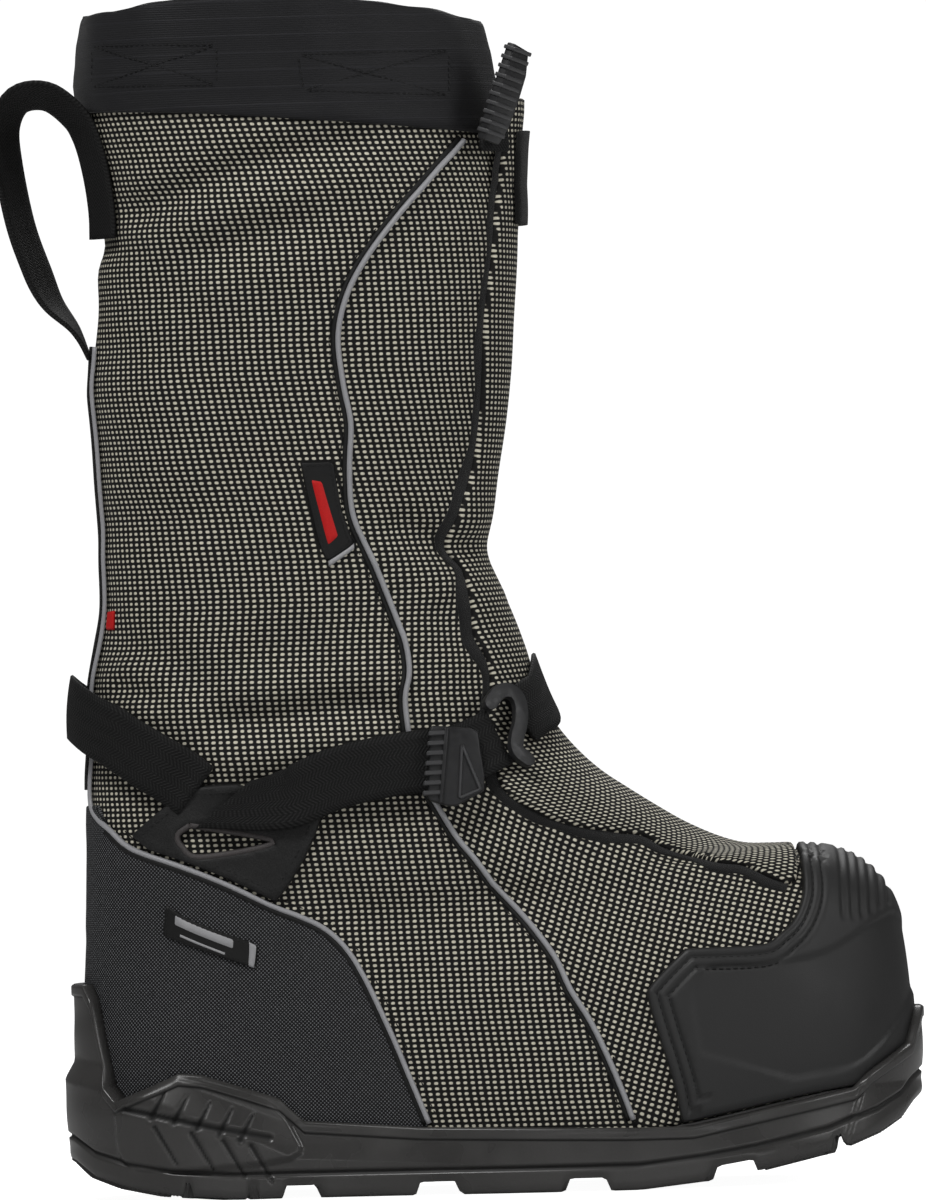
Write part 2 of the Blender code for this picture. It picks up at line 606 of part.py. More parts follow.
def build_outsole(material):
    columns = [sole_column(turn) for turn in ring_turns()]
    levels = len(columns[0])
    points = [columns[j][i] for i in range(levels) for j in range(COLUMNS)]
    faces = grid_faces(levels, COLUMNS, True, 0, COLUMNS // 2)
    close_across(points, COLUMNS, 0, faces, True)
    close_across(points, COLUMNS, (levels - 1) * COLUMNS, faces, False)
    sole = make_object("outsole", points, faces, material)
    boolean(sole, "UNION", heel_wings())
    boolean(sole, "DIFFERENCE", wing_slits())
    far = BALL_WIDTH
    side_cuts = []
    for place, width in SIDE_GAPS:
        side_cuts.append(tread_cut(float(along(place)), width))
    boolean(sole, "DIFFERENCE", prism("tread_gaps_outer", side_cuts, -far, -CHANNEL_OFFSET))
    boolean(sole, "DIFFERENCE", prism("tread_gaps_inner", side_cuts, CHANNEL_OFFSET + CHANNEL_OVERLAP, far))
    middle_cuts = [tread_cut(float(along(place)), width) for place, width in MIDDLE_GAPS]
    middle = prism("tread_gaps_middle", middle_cuts, CHANNEL_OVERLAP - CHANNEL_OFFSET, CHANNEL_OFFSET)
    boolean(sole, "DIFFERENCE", middle)
    for side, name in ((-1, "tread_channel_outer"), (1, "tread_channel_inner")):
        middle = side * CHANNEL_OFFSET
        cut = prism(name, [tread_channel()], middle - 0.5 * CHANNEL_WIDTH, middle + 0.5 * CHANNEL_WIDTH)
        boolean(sole, "DIFFERENCE", cut)
    return sole


def tread_cut(middle, width):
    low, high = middle - 0.5 * width, middle + 0.5 * width
    below = sole_bottom(middle) - CUT_REACH
    return [(low, below), (high, below), (high, sole_bottom(high) + TREAD_DEPTH), (low, sole_bottom(low) + TREAD_DEPTH)]


def tread_channel():
    """Side outline of a groove along the sole, from the first side gap to the last."""
    first, last = SIDE_GAPS[0][0], SIDE_GAPS[-1][0]
    shares = [first] + [a for a, _ in SOLE_BOTTOM if first < a < last] + [last]
    places = [float(along(a)) for a in shares]
    ceiling = [(x, sole_bottom(x) + CHANNEL_DEPTH) for x in places]
    return [(places[0], -CUT_REACH), (places[-1], -CUT_REACH)] + ceiling[::-1]


def heel_band(name, inner, outer):
    """Guide solid: a layer over the sole's side at the heel."""
    turns = heel_turns(0.5 * math.pi)
    heights = np.linspace(WING_LOW, WING_HIGH, WING_LEVELS)

    def layer(extra):
        return np.array([[wall_place(turn, z, sole_outset(0.5 - 0.5 * math.cos(turn), z) + extra)
                          for turn in turns] for z in heights])

    points, faces = closed_sheet(layer(outer), layer(inner), False, len(turns) // 2)
    return make_object(name, points, faces, guide=True)


def heel_wings():
    band = heel_band("wing_form", -WING_ROOT, WING_RAISE)
    boolean(band, "INTERSECT", prism("wing_outline", [shares_to_mm(WING_OUTLINE)], -BALL_WIDTH, BALL_WIDTH))
    return band


def wing_slits():
    band = heel_band("slit_form", WING_RAISE - SLIT_DEPTH, WING_RAISE + SLIT_REACH)
    outlines = [stroke(shares_to_mm(WING_GROOVE), GROOVE_WIDTH)]
    for x, z, step_x, step_z, run_x, run_z, count, wide in SLIT_ROWS:
        for k in range(count):
            start = (x + k * step_x, z + k * step_z)
            end = (start[0] + run_x, start[1] + run_z)
            outlines.append(taper(shares_to_mm([start, end]), wide))
    boolean(band, "INTERSECT", prism("slit_outlines", outlines, -BALL_WIDTH, BALL_WIDTH))
    return band


def stroke(line, width):
    return shifted(line, 0.5 * width) + shifted(line, -0.5 * width)[::-1]


def taper(line, width):
    wide = stroke(line, width)
    tip = line[1]
    return [wide[0], tip, wide[3]]


def build_insole(material):
    """Flat pad inside the upper, on the sole's floor."""
    turns = ring_turns()[::2]
    count = len(turns)
    edge = surface(turns, np.zeros(count), -(WALL + INSOLE_EASE))
    floor = base_surface(turns, np.zeros(count))[:, 2]
    bottom = np.column_stack([edge[:, 0], edge[:, 1], floor])
    top = bottom + np.array([0.0, 0.0, INSOLE_THICK])
    points = np.concatenate([bottom, top])
    faces = grid_faces(2, count, True)
    close_across(points, count, 0, faces, True)
    close_across(points, count, count, faces, False)
    return make_object("insole", points, faces, material)


def build_upper(material):
    """Hollow upper: the lining's form has fewer rows and half the columns of the outer face."""
    turns = ring_turns()
    rows = np.arange(LAST_ROW + 1, dtype=float)
    inner_rows = np.array([float(r) for r in range(0, LAST_ROW - 1, INNER_ROW_STEP)] + [float(LAST_ROW)])
    outer = surface(*np.meshgrid(turns, rows), 0.0)
    inner = surface(*np.meshgrid(turns[::2], inner_rows), -WALL)
    half = COLUMNS // 2
    points = np.concatenate([outer.reshape(-1, 3), inner.reshape(-1, 3)])
    shift = len(rows) * COLUMNS
    faces = grid_faces(len(rows), COLUMNS, True, 0, half)
    faces += [tuple(reversed(f)) for f in grid_faces(len(inner_rows), half, True, shift, half // 2)]
    for outer_start, inner_start in ((0, shift), (shift - COLUMNS, len(points) - half)):
        for j in range(half):
            a, b, c = (outer_start + (2 * j + k) % COLUMNS for k in range(3))
            d, e = inner_start + j, inner_start + (j + 1) % half
            faces += [(a, b, d), (b, e, d), (b, c, e)]
    return make_object("upper", points, faces, material)


def build_toe_cap(material, seat):
    cap = skin("toe_cap", 0, 13, GAP, GAP + CAP_THICK, half_turns(0.45 * math.pi), material=material)
    line = shares_to_mm(CAP_LINE)
    far = float(along(1.06))
    outline = [(line[0][0], 0.0), (far, 0.0), (far, float(height(0.3)))] + line[::-1]
    boolean(cap, "INTERSECT", prism("toe_cap_outline", [outline], -BALL_WIDTH, BALL_WIDTH))
    boolean(cap, "DIFFERENCE", seat)
    return cap


def half_turns(reach):
    """Turns around the toe, a reach each way from the front."""
    step = 2.0 * math.pi / COLUMNS
    count = int(round(reach / step))
    return math.pi + step * np.arange(-count, count + 1)


def heel_turns(reach):
    step = 2.0 * math.pi / COLUMNS
    count = int(round(reach / step))
    return step * np.arange(-count, count + 1)


def build_counter(material, seat):
    """Heel counter, cut to the middle of its piping and clear of it."""
    line = shifted(shares_to_mm(COUNTER_LINE), SEAM_SHIFT * PIPING_WIDTH)
    counter = skin("heel_counter", 0, 20, COARSE_GAP, COARSE_GAP + COUNTER_THICK, heel_turns(0.5 * math.pi),
                   material=material, row_step=2)
    back = float(along(-0.1))
    outline = [(back, 0.0), (line[0][0] - PIPING_WIDTH, 0.0)] + line[1:] + [(back, line[-1][1])]
    boolean(counter, "INTERSECT", prism("counter_outline", [outline], -BALL_WIDTH, BALL_WIDTH))
    for side, word in ((-1, "outer"), (1, "inner")):
        path = heel_piping_path(side)
        clearance = band("counter_clearance_" + word, path, 0.5 * PIPING_WIDTH + GAP, -CUT_MARGIN,
                         COARSE_GAP + COUNTER_THICK + CUT_MARGIN, None, spacing=PIPING_STEP, across=2, guide=True)
        boolean(counter, "DIFFERENCE", clearance)
    boolean(counter, "DIFFERENCE", seat)
    return counter


def build_cuff(material):
    """Nylon band around the collar."""
    cuff = skin("collar_cuff", LAST_ROW - 4, LAST_ROW, GAP, GAP + CUFF_THICK, material=material)
    line = shares_to_mm(CUFF_LINE)
    high = float(height(1.1))
    outline = line + [(line[-1][0], high), (line[0][0], high)]
    boolean(cuff, "INTERSECT", prism("cuff_outline", [outline], -BALL_WIDTH, BALL_WIDTH))
    return cuff


def build_flap(material):
    """Front flap, over the closure, from the toe cap to the collar, where it leans forward."""
    flap = skin("front_flap", 6, LAST_ROW - 1, GAP, GAP + FLAP_THICK, half_turns(0.36 * math.pi),
                lean=True, material=material)
    line = shares_to_mm(FLAP_LINE)
    cap = shifted(shares_to_mm(CAP_LINE), GAP + 0.3)
    far = float(along(0.9))
    top = float(height(FLAP_TOP))
    side_top = (line[0][0] + 4.0, line[0][1])
    outline = line[1:] + cap[-3:] + [(cap[-1][0], float(height(0.5))), (far, float(height(0.5))), (far, top),
                                     (line[0][0] + 10.0, top), side_top]
    boolean(flap, "INTERSECT", prism("flap_outline", [outline], -BALL_WIDTH, BALL_WIDTH))
    return flap


def patch(name, outline, inner, outer, side, material, cutouts=(), row_step=1):
    """Flat label or tab on one side: the upper's own form cut by a side outline."""
    places = [locate(x, z) for x, z in outline]
    low = max(int(min(row for _, row in places)) - 1, 0)
    high = min(int(max(row for _, row in places)) + 2, LAST_ROW)
    step = 2.0 * math.pi / COLUMNS
    first = int(min(turn for turn, _ in places) / step) - 1
    last = int(max(turn for turn, _ in places) / step) + 2
    turns = step * np.arange(first, last + 1)
    if side > 0:
        turns = 2.0 * math.pi - turns[::-1]
    high += (high - low) % row_step
    form = skin(name, low, high, inner, outer, turns, material=material, row_step=row_step)
    near, far = sorted((side * 2.0, side * BALL_WIDTH))
    boolean(form, "INTERSECT", prism(name + "_outline", [outline], near, far))
    if cutouts:
        boolean(form, "DIFFERENCE", prism(name + "_cutouts", cutouts, near, far))
    return form


def build_tab(name, side, material):
    """Anchor tab that holds the straps, sewn in along the counter's piping."""
    clear = 0.5 * PIPING_WIDTH + GAP + 0.2
    seam = [p for p in shifted(shares_to_mm(COUNTER_LINE), -clear) if along(0.10) < p[0] < along(0.25)]
    top = shares_to_mm(TAB_TOP)
    outline = top + seam
    slot = shares_to_mm(TAB_SLOT)
    return patch(name, outline, COARSE_GAP, COARSE_GAP + TAB_THICK, side, material, [slot], 2)


def band(name, path, half_width, inner, outer, material, slack=None, spacing=12.0, across=3, edge_taper=0.0,
         guide=False):
    """Strap or piping along a path of turns and rows, with its edges square to the path."""
    places = resample(path, spacing)
    count = len(places)
    middles = np.array([base_surface(turn, row) for turn, row in places])
    outside = np.zeros((count, across, 3))
    inside = np.zeros((count, across, 3))
    for i, (turn, row) in enumerate(places):
        run = middles[min(i + 1, count - 1)] - middles[max(i - 1, 0)]
        around, up = slopes(np.array(turn), np.array(row))
        normal = np.cross(around, up)
        normal /= np.linalg.norm(normal)
        across_dir = np.cross(normal, run)
        across_dir /= np.linalg.norm(across_dir)
        extra = slack(turn) if slack else 0.0
        for k in range(across):
            share = 2.0 * k / (across - 1) - 1.0
            far = walk(turn, row, across_dir, share * half_width)
            near = walk(turn, row, across_dir, share * (half_width - edge_taper))
            inside[i, k] = surface(far[0], far[1], inner + extra)
            outside[i, k] = surface(near[0], near[1], outer + extra)
    points, faces = closed_sheet(outside, inside, False)
    return make_object(name, points, faces, material, guide)


def resample(path, spacing):
    """Points at an even spacing on a smooth curve through the path's turns and rows."""
    points = np.array(path, dtype=float)
    padded = np.vstack([2 * points[:1] - points[1:2], points, 2 * points[-1:] - points[-2:-1]])
    fine = []
    for i in range(1, len(padded) - 2):
        for f in np.linspace(0.0, 1.0, 12, endpoint=False):
            p0, p1, p2, p3 = padded[i - 1:i + 3]
            fine.append(0.5 * (2 * p1 + (p2 - p0) * f + (2 * p0 - 5 * p1 + 4 * p2 - p3) * f ** 2
                               + (3 * p1 - p0 - 3 * p2 + p3) * f ** 3))
    fine.append(points[-1])
    fine = np.array(fine)
    solid = base_surface(fine[:, 0], fine[:, 1])
    run = np.concatenate([[0.0], np.cumsum(np.linalg.norm(np.diff(solid, axis=0), axis=1))])
    count = max(int(round(run[-1] / spacing)), 2)
    marks = np.linspace(0.0, run[-1], count + 1)
    return [(float(np.interp(m, run, fine[:, 0])), float(np.interp(m, run, fine[:, 1]))) for m in marks]


def side_path(line, side=-1):
    """Turns and rows of a side line, on the outer side or mirrored to the inner side."""
    places = [locate(x, z) for x, z in shares_to_mm(line)]
    if side > 0:
        places = [(2.0 * math.pi - turn, row) for turn, row in places]
    return places


def build_straps(material):
    half = 0.5 * STRAP_WIDTH
    inner, outer = STRAP_LIFT, STRAP_LIFT + STRAP_THICK
    lateral = side_path(TAB_STRAP_LINE)
    band("strap_outer", lateral, half, inner, outer, material)
    heel = side_path(HEEL_STRAP_LINE)
    back = (0.0, row_at(0.0, float(height(HEEL_STRAP_BACK))))
    heel_path = heel + [back] + [(-turn, row) for turn, row in heel[::-1]]

    def heel_slack(turn):
        return STRAP_SLACK * math.exp(-(turn / SLACK_SPREAD) ** 2)

    band("strap_heel", heel_path, half, HEEL_STRAP_LIFT, HEEL_STRAP_LIFT + STRAP_THICK, material, slack=heel_slack)
    front = side_path(FRONT_STRAP_LINE)
    middle = (math.pi, row_at(math.pi, float(height(FRONT_STRAP_FRONT))))
    far_front = [(2.0 * math.pi - turn, row) for turn, row in front[::-1]]
    far_side = [(2.0 * math.pi - turn, row) for turn, row in lateral[::-1]]
    band("strap_front", front + [middle] + far_front + far_side, half, inner, outer, material, spacing=8.0)


def heel_piping_path(side):
    """Along the counter's edge, then up beside the back strip."""
    path = side_path(COUNTER_LINE, side)
    strip_edge = 0.5 * (STRAP_WIDTH + PIPING_WIDTH) + GAP
    for share in HEEL_PIPING_UP:
        path.append(back_place(float(height(share)), strip_edge, side))
    return path


def build_pipings(material):
    half = 0.5 * PIPING_WIDTH
    inner, outer = COARSE_GAP, COARSE_GAP + PIPING_THICK
    for side, word in ((-1, "outer"), (1, "inner")):
        routes = (("piping_side_", side_path(SIDE_LINE, side)), ("piping_heel_", heel_piping_path(side)))
        for name, path in routes:
            band(name + word, path, half, inner, outer, material, spacing=PIPING_STEP, across=2,
                 edge_taper=PIPING_ROUND)


def back_place(z, distance, side):
    """Turn and row beside the back's middle line at a height."""
    row = row_at(0.0, z)
    turn, row = walk(0.0, row, np.array([0.0, -1.0, 0.0]), distance, steps=6)
    return (turn, row) if side < 0 else (2.0 * math.pi - turn, row)


def build_back_strip(material):
    low = float(height(COUNTER_LINE[-1][1])) + GAP + 2.0
    high = float(height(STRIP_TOP))
    path = [(0.0, row_at(0.0, z)) for z in np.linspace(low, high, 8)]
    return band("back_strip", path, 0.5 * STRAP_WIDTH, COARSE_GAP, COARSE_GAP + STRIP_THICK, material, spacing=20.0)


def build_pull_loop(material):
    """Webbing loop: its side outline run across the back strip's width."""
    middle = []
    for behind, share in LOOP_PATH:
        z = float(height(share))
        back = base_surface(0.0, row_at(0.0, z))[0]
        middle.append((back - behind, z))
    middle = smooth_line(middle, 2)
    outline = stroke(middle, LOOP_THICK)
    loop = prism("pull_loop", [outline], -0.5 * STRAP_WIDTH, 0.5 * STRAP_WIDTH)
    loop.hide_render = False
    loop.display_type = "TEXTURED"
    loop.data.materials.append(material)
    return loop


def smooth_line(line, parts):
    points = np.array(line)
    padded = np.vstack([2 * points[:1] - points[1:2], points, 2 * points[-1:] - points[-2:-1]])
    fine = []
    for i in range(1, len(padded) - 2):
        for f in np.linspace(0.0, 1.0, parts, endpoint=False):
            p0, p1, p2, p3 = padded[i - 1:i + 3]
            fine.append(tuple(0.5 * (2 * p1 + (p2 - p0) * f + (2 * p0 - 5 * p1 + 4 * p2 - p3) * f ** 2
                                     + (3 * p1 - p0 - 3 * p2 + p3) * f ** 3)))
    fine.append(tuple(points[-1]))
    return fine


def local_frame(place, lift):
    """Origin, forward, up and outward directions at a place on the outer side."""
    turn, row = locate(*shares_to_mm([place])[0])
    origin = surface(turn, row, lift)
    around, up = slopes(np.array(turn), np.array(row))
    out = np.cross(around, up)
    out /= np.linalg.norm(out)
    forward = around / np.linalg.norm(around)
    return origin, forward, np.cross(out, forward), out


def slab(name, outline, frame, low, high, material=None, guide=False):
    """Flat plate: an outline in a local frame, between two heights along its outward direction."""
    origin, forward, up, out = frame
    points = [origin + forward * a + up * b + out * low for a, b in outline]
    points += [origin + forward * a + up * b + out * high for a, b in outline]
    count = len(outline)
    faces = [tuple(range(count)), tuple(range(count, 2 * count))]
    faces += [(i, (i + 1) % count, count + (i + 1) % count, count + i) for i in range(count)]
    return make_object(name, points, faces, material, guide)


def turned_frame(frame, angle):
    origin, forward, up, out = frame
    c, s = math.cos(angle), math.sin(angle)
    return origin, forward * c + up * s, up * c - forward * s, out


def comb_outline(length, width, ribs, rib):
    """Plate with a ribbed rear edge and a front edge that narrows."""
    outline = [(0.5 * length, -0.30 * width), (0.5 * length, 0.22 * width), (0.2 * length, 0.5 * width)]
    step = 0.92 * width / ribs
    rear = -0.5 * length
    for k in range(ribs):
        high = 0.46 * width - k * step
        outline += [(rear, high), (rear - rib, high - 0.15 * step),
                    (rear - rib, high - 0.5 * step), (rear, high - 0.65 * step)]
    outline.append((0.25 * length, -0.5 * width))
    return outline


def build_buckle(material):
    lift = STRAP_LIFT + STRAP_THICK + GAP + BUCKLE_EASE
    frame = turned_frame(local_frame(BUCKLE_PLACE, lift), BUCKLE_TILT)
    outline = comb_outline(BUCKLE_LENGTH - RIB_SIZE, BUCKLE_HEIGHT, BUCKLE_RIBS, RIB_SIZE)
    return slab("strap_buckle", outline, frame, 0.0, BUCKLE_THICK, material)


def build_hook(material):
    lift = STRAP_LIFT + STRAP_THICK + GAP + HOOK_EASE
    frame = local_frame(HOOK_PLACE, lift)
    outline = stroke(smooth_line(HOOK_PATH, 2), HOOK_WIDTH)
    return slab("strap_hook", outline, frame, 0.0, HOOK_THICK, material)


def build_top_buckle(plastic, webbing):
    """Comb buckle in front of the collar, seen on edge from the side, on a short strap."""
    z = float(height(TOP_BUCKLE_FOOT))
    turn = TOP_BUCKLE_TURN
    row = row_at(turn, z)
    lean_out = float(flap_lean(np.array(turn), np.array(row)))
    edge = surface(np.array(turn), np.array(row), lean_out + TOP_STRAP_LIFT + STRAP_THICK - TOP_BUCKLE_SEAT)
    lean = TOP_BUCKLE_LEAN
    up = np.array([math.sin(lean), 0.0, math.cos(lean)])
    out = np.array([math.cos(lean), 0.0, -math.sin(lean)])
    across = np.array([0.0, 1.0, 0.0])
    origin = edge - across * (0.5 * TOP_BUCKLE_WIDTH) + up * (0.5 * TOP_BUCKLE_LENGTH - TOP_BUCKLE_DROP)
    outline = comb_outline(TOP_BUCKLE_WIDTH, TOP_BUCKLE_LENGTH, BUCKLE_RIBS, RIB_SIZE)
    slab("top_buckle", outline, (origin, across, up, out), 0.0, TOP_BUCKLE_THICK, plastic)
    path = [(turn + step, row) for step in TOP_STRAP_TURNS]

    def slack(place):
        return float(flap_lean(np.array(place), np.array(row)))

    outer = TOP_STRAP_LIFT + STRAP_THICK
    band("top_strap", path, TOP_STRAP_HALF, TOP_STRAP_LIFT, outer, webbing, slack=slack, spacing=6.0)


def build_top_tab(material):
    """Fuzzy tab on the flap's front, below the collar."""
    low, high = (float(height(share)) for share in (TOP_TAB_LOW, TOP_TAB_HIGH))
    path = [(math.pi, row_at(math.pi, z)) for z in np.linspace(low, high, 4)]

    def lean(turn):
        return float(flap_lean(np.array(math.pi), np.array(row_at(math.pi, high))))

    inner = 2 * GAP + FLAP_THICK
    return band("top_tab", path, TOP_TAB_HALF, inner, inner + TOP_TAB_THICK, material, slack=lean,
                spacing=12.0, across=5)


def build_tag(material):
    """Small folded tag beside the heel piping."""
    z = float(height(TAG_HEIGHT))
    turn, row = back_place(z, 0.5 * STRAP_WIDTH + PIPING_WIDTH + 4 * GAP + 0.5 * TAG_SIZE, -1)
    low = max(row - 0.25, 0.0)
    return band("back_tag", [(turn, low), (turn, row + 0.25)], 0.5 * TAG_SIZE, GAP, GAP + LABEL_THICK, material,
                spacing=4.0, across=2)


def remove_everything():
    for obj in list(bpy.data.objects):
        bpy.data.objects.remove(obj, do_unlink=True)


def main():
    remove_everything()
    cloth = make_material("dotted_cloth", (0.12, 0.11, 0.10), 0.85)
    heel_cloth = make_material("charcoal_cloth", (0.045, 0.045, 0.05), 0.8)
    nylon = make_material("black_nylon", (0.015, 0.015, 0.017), 0.6)
    cap_rubber = make_material("cap_rubber", (0.018, 0.018, 0.018), 0.55)
    sole_rubber = make_material("sole_rubber", (0.02, 0.02, 0.021), 0.45)
    webbing = make_material("webbing", (0.012, 0.012, 0.012), 0.75)
    plastic = make_material("hard_plastic", (0.03, 0.03, 0.032), 0.4)
    reflective = make_material("reflective_piping", (0.45, 0.45, 0.46), 0.4)
    coated = make_material("coated_fabric", (0.02, 0.02, 0.02), 0.6)
    hook_pile = make_material("hook_pile", (0.008, 0.008, 0.008), 0.95)
    label = make_material("label_black", (0.01, 0.01, 0.01), 0.5)
    red = make_material("tag_red", (0.6, 0.01, 0.01), 0.6)
    foam = make_material("insole_foam", (0.05, 0.05, 0.05), 0.9)
    on_sole = sole_seat()
    build_outsole(sole_rubber)
    build_insole(foam)
    build_upper(cloth)
    build_toe_cap(cap_rubber, on_sole)
    build_counter(heel_cloth, on_sole)
    build_cuff(nylon)
    build_flap(cloth)
    build_tab("tab_outer", -1, coated)
    build_tab("tab_inner", 1, coated)
    build_straps(webbing)
    build_pipings(reflective)
    build_back_strip(webbing)
    build_pull_loop(webbing)
    build_buckle(plastic)
    build_hook(plastic)
    build_top_buckle(plastic, webbing)
    build_top_tab(hook_pile)
    side = shares_to_mm(SIDE_LABEL)
    patch("side_label", side, GAP, GAP + LABEL_THICK, -1, label)
    counter_top = COARSE_GAP + GAP + COUNTER_THICK
    patch("heel_label", shares_to_mm(HEEL_LABEL), counter_top, counter_top + LABEL_THICK, -1, label)
    build_tag(red)


main()
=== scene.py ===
"""Looks of the winter overshoe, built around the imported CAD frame.

Right shoe. +X points to the toe, +Y to the inner side of the foot, +Z up.
Lengths are in millimetres until a mesh is made.
"""
import math

import bmesh
import bpy
import numpy as np
from mathutils import Matrix, Vector
from mathutils.geometry import delaunay_2d_cdt


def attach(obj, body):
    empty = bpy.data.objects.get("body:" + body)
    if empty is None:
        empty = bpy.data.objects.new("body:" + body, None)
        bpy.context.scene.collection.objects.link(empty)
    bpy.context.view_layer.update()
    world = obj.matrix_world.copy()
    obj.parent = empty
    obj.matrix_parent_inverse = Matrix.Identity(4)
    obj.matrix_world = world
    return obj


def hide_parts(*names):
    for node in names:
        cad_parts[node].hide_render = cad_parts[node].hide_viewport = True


MM = 0.001
WEAVE_UNIT = 10.0

# Driving sizes, as in the part's source
SOLE_LENGTH = 350.0
BOOT_HEIGHT = 489.0
FOOTBED = 22.0
BALL_WIDTH = 132.0
SHAFT_WIDTH = 124.0
WALL = 3.0
UPPER_HEIGHT = BOOT_HEIGHT - FOOTBED
ROUNDNESS = 2.25
TOE_SWING = 8.0
WAIST_INNER = 5.0
WAIST_OUTER = 1.5
RIM_CROWN = 0.019 * UPPER_HEIGHT
SHAFT_FROM = 0.4
SHAFT_TO = 0.9

# Sections of the last, from the sole up, as in the part's source
# name, back x, back z, front x, front z, curl, heel half, ball half, back round, front round
SECTIONS = [
    ("feather", 0.034, 0.000, 0.980, 0.039, 0.039, 0.697, 0.955, 0.160, 0.270),
    ("welt", 0.031, 0.026, 0.987, 0.066, 0.026, 0.702, 0.962, 0.165, 0.270),
    ("bumper", 0.031, 0.051, 0.989, 0.096, 0.017, 0.705, 0.955, 0.170, 0.270),
    ("toe_low", 0.030, 0.075, 0.986, 0.131, 0.010, 0.709, 0.936, 0.175, 0.270),
    ("toe_mid", 0.030, 0.096, 0.981, 0.163, 0.004, 0.712, 0.909, 0.180, 0.275),
    ("toe_high", 0.031, 0.113, 0.974, 0.188, 0.000, 0.712, 0.871, 0.190, 0.280),
    ("toe_turn", 0.031, 0.128, 0.960, 0.210, 0.000, 0.712, 0.826, 0.200, 0.290),
    ("toe_dome", 0.031, 0.141, 0.940, 0.226, 0.000, 0.712, 0.780, 0.210, 0.295),
    ("toe_top", 0.032, 0.154, 0.913, 0.237, 0.000, 0.712, 0.750, 0.220, 0.300),
    ("cap_back", 0.033, 0.167, 0.877, 0.242, 0.000, 0.712, 0.742, 0.230, 0.300),
    ("vamp_1", 0.034, 0.180, 0.840, 0.242, 0.000, 0.712, 0.750, 0.240, 0.300),
    ("vamp_2", 0.034, 0.193, 0.803, 0.243, 0.000, 0.712, 0.765, 0.250, 0.310),
    ("vamp_3", 0.035, 0.208, 0.769, 0.250, 0.000, 0.720, 0.776, 0.260, 0.320),
    ("vamp_4", 0.036, 0.225, 0.734, 0.262, 0.000, 0.727, 0.785, 0.270, 0.330),
    ("vamp_5", 0.037, 0.242, 0.700, 0.277, 0.000, 0.735, 0.788, 0.280, 0.340),
    ("vamp_6", 0.038, 0.261, 0.666, 0.293, 0.000, 0.742, 0.788, 0.295, 0.350),
    ("instep_1", 0.038, 0.281, 0.634, 0.310, 0.000, 0.743, 0.788, 0.310, 0.360),
    ("instep_2", 0.039, 0.302, 0.607, 0.330, 0.000, 0.749, 0.785, 0.325, 0.370),
    ("instep_3", 0.039, 0.325, 0.586, 0.351, 0.000, 0.754, 0.784, 0.340, 0.380),
    ("instep_4", 0.040, 0.351, 0.569, 0.375, 0.000, 0.761, 0.782, 0.360, 0.395),
    ("ankle_1", 0.041, 0.377, 0.556, 0.398, 0.000, 0.767, 0.782, 0.380, 0.410),
    ("ankle_2", 0.046, 0.405, 0.544, 0.424, 0.000, 0.774, 0.785, 0.400, 0.425),
    ("ankle_3", 0.054, 0.435, 0.531, 0.452, 0.000, 0.784, 0.789, 0.420, 0.440),
    ("ankle_4", 0.063, 0.465, 0.517, 0.479, 0.000, 0.796, 0.796, 0.440, 0.455),
    ("ankle_5", 0.066, 0.493, 0.505, 0.501, 0.000, 0.808, 0.808, 0.460, 0.470),
    ("pinch", 0.066, 0.518, 0.502, 0.519, 0.000, 0.820, 0.820, 0.480, 0.485),
    ("shaft_1", 0.064, 0.548, 0.510, 0.545, 0.000, 0.836, 0.836, 0.500, 0.500),
    ("shaft_2", 0.060, 0.587, 0.518, 0.582, 0.000, 0.859, 0.859, 0.500, 0.500),
    ("shaft_3", 0.057, 0.634, 0.529, 0.625, 0.000, 0.887, 0.887, 0.500, 0.500),
    ("shaft_4", 0.056, 0.681, 0.538, 0.672, 0.000, 0.911, 0.911, 0.500, 0.500),
    ("shaft_5", 0.064, 0.728, 0.543, 0.715, 0.000, 0.934, 0.934, 0.500, 0.500),
    ("shaft_6", 0.070, 0.777, 0.548, 0.762, 0.000, 0.952, 0.952, 0.500, 0.500),
    ("shaft_7", 0.072, 0.816, 0.549, 0.801, 0.000, 0.967, 0.967, 0.500, 0.500),
    ("shaft_8", 0.067, 0.852, 0.546, 0.833, 0.000, 0.977, 0.977, 0.500, 0.500),
    ("cuff_low", 0.057, 0.889, 0.540, 0.867, 0.000, 0.989, 0.989, 0.500, 0.500),
    ("cuff_mid", 0.050, 0.921, 0.534, 0.906, 0.000, 1.000, 1.000, 0.500, 0.500),
    ("cuff_high", 0.053, 0.955, 0.526, 0.942, 0.000, 1.000, 1.000, 0.500, 0.500),
    ("rim", 0.061, 0.987, 0.516, 0.974, 0.000, 0.992, 0.992, 0.500, 0.500),
]

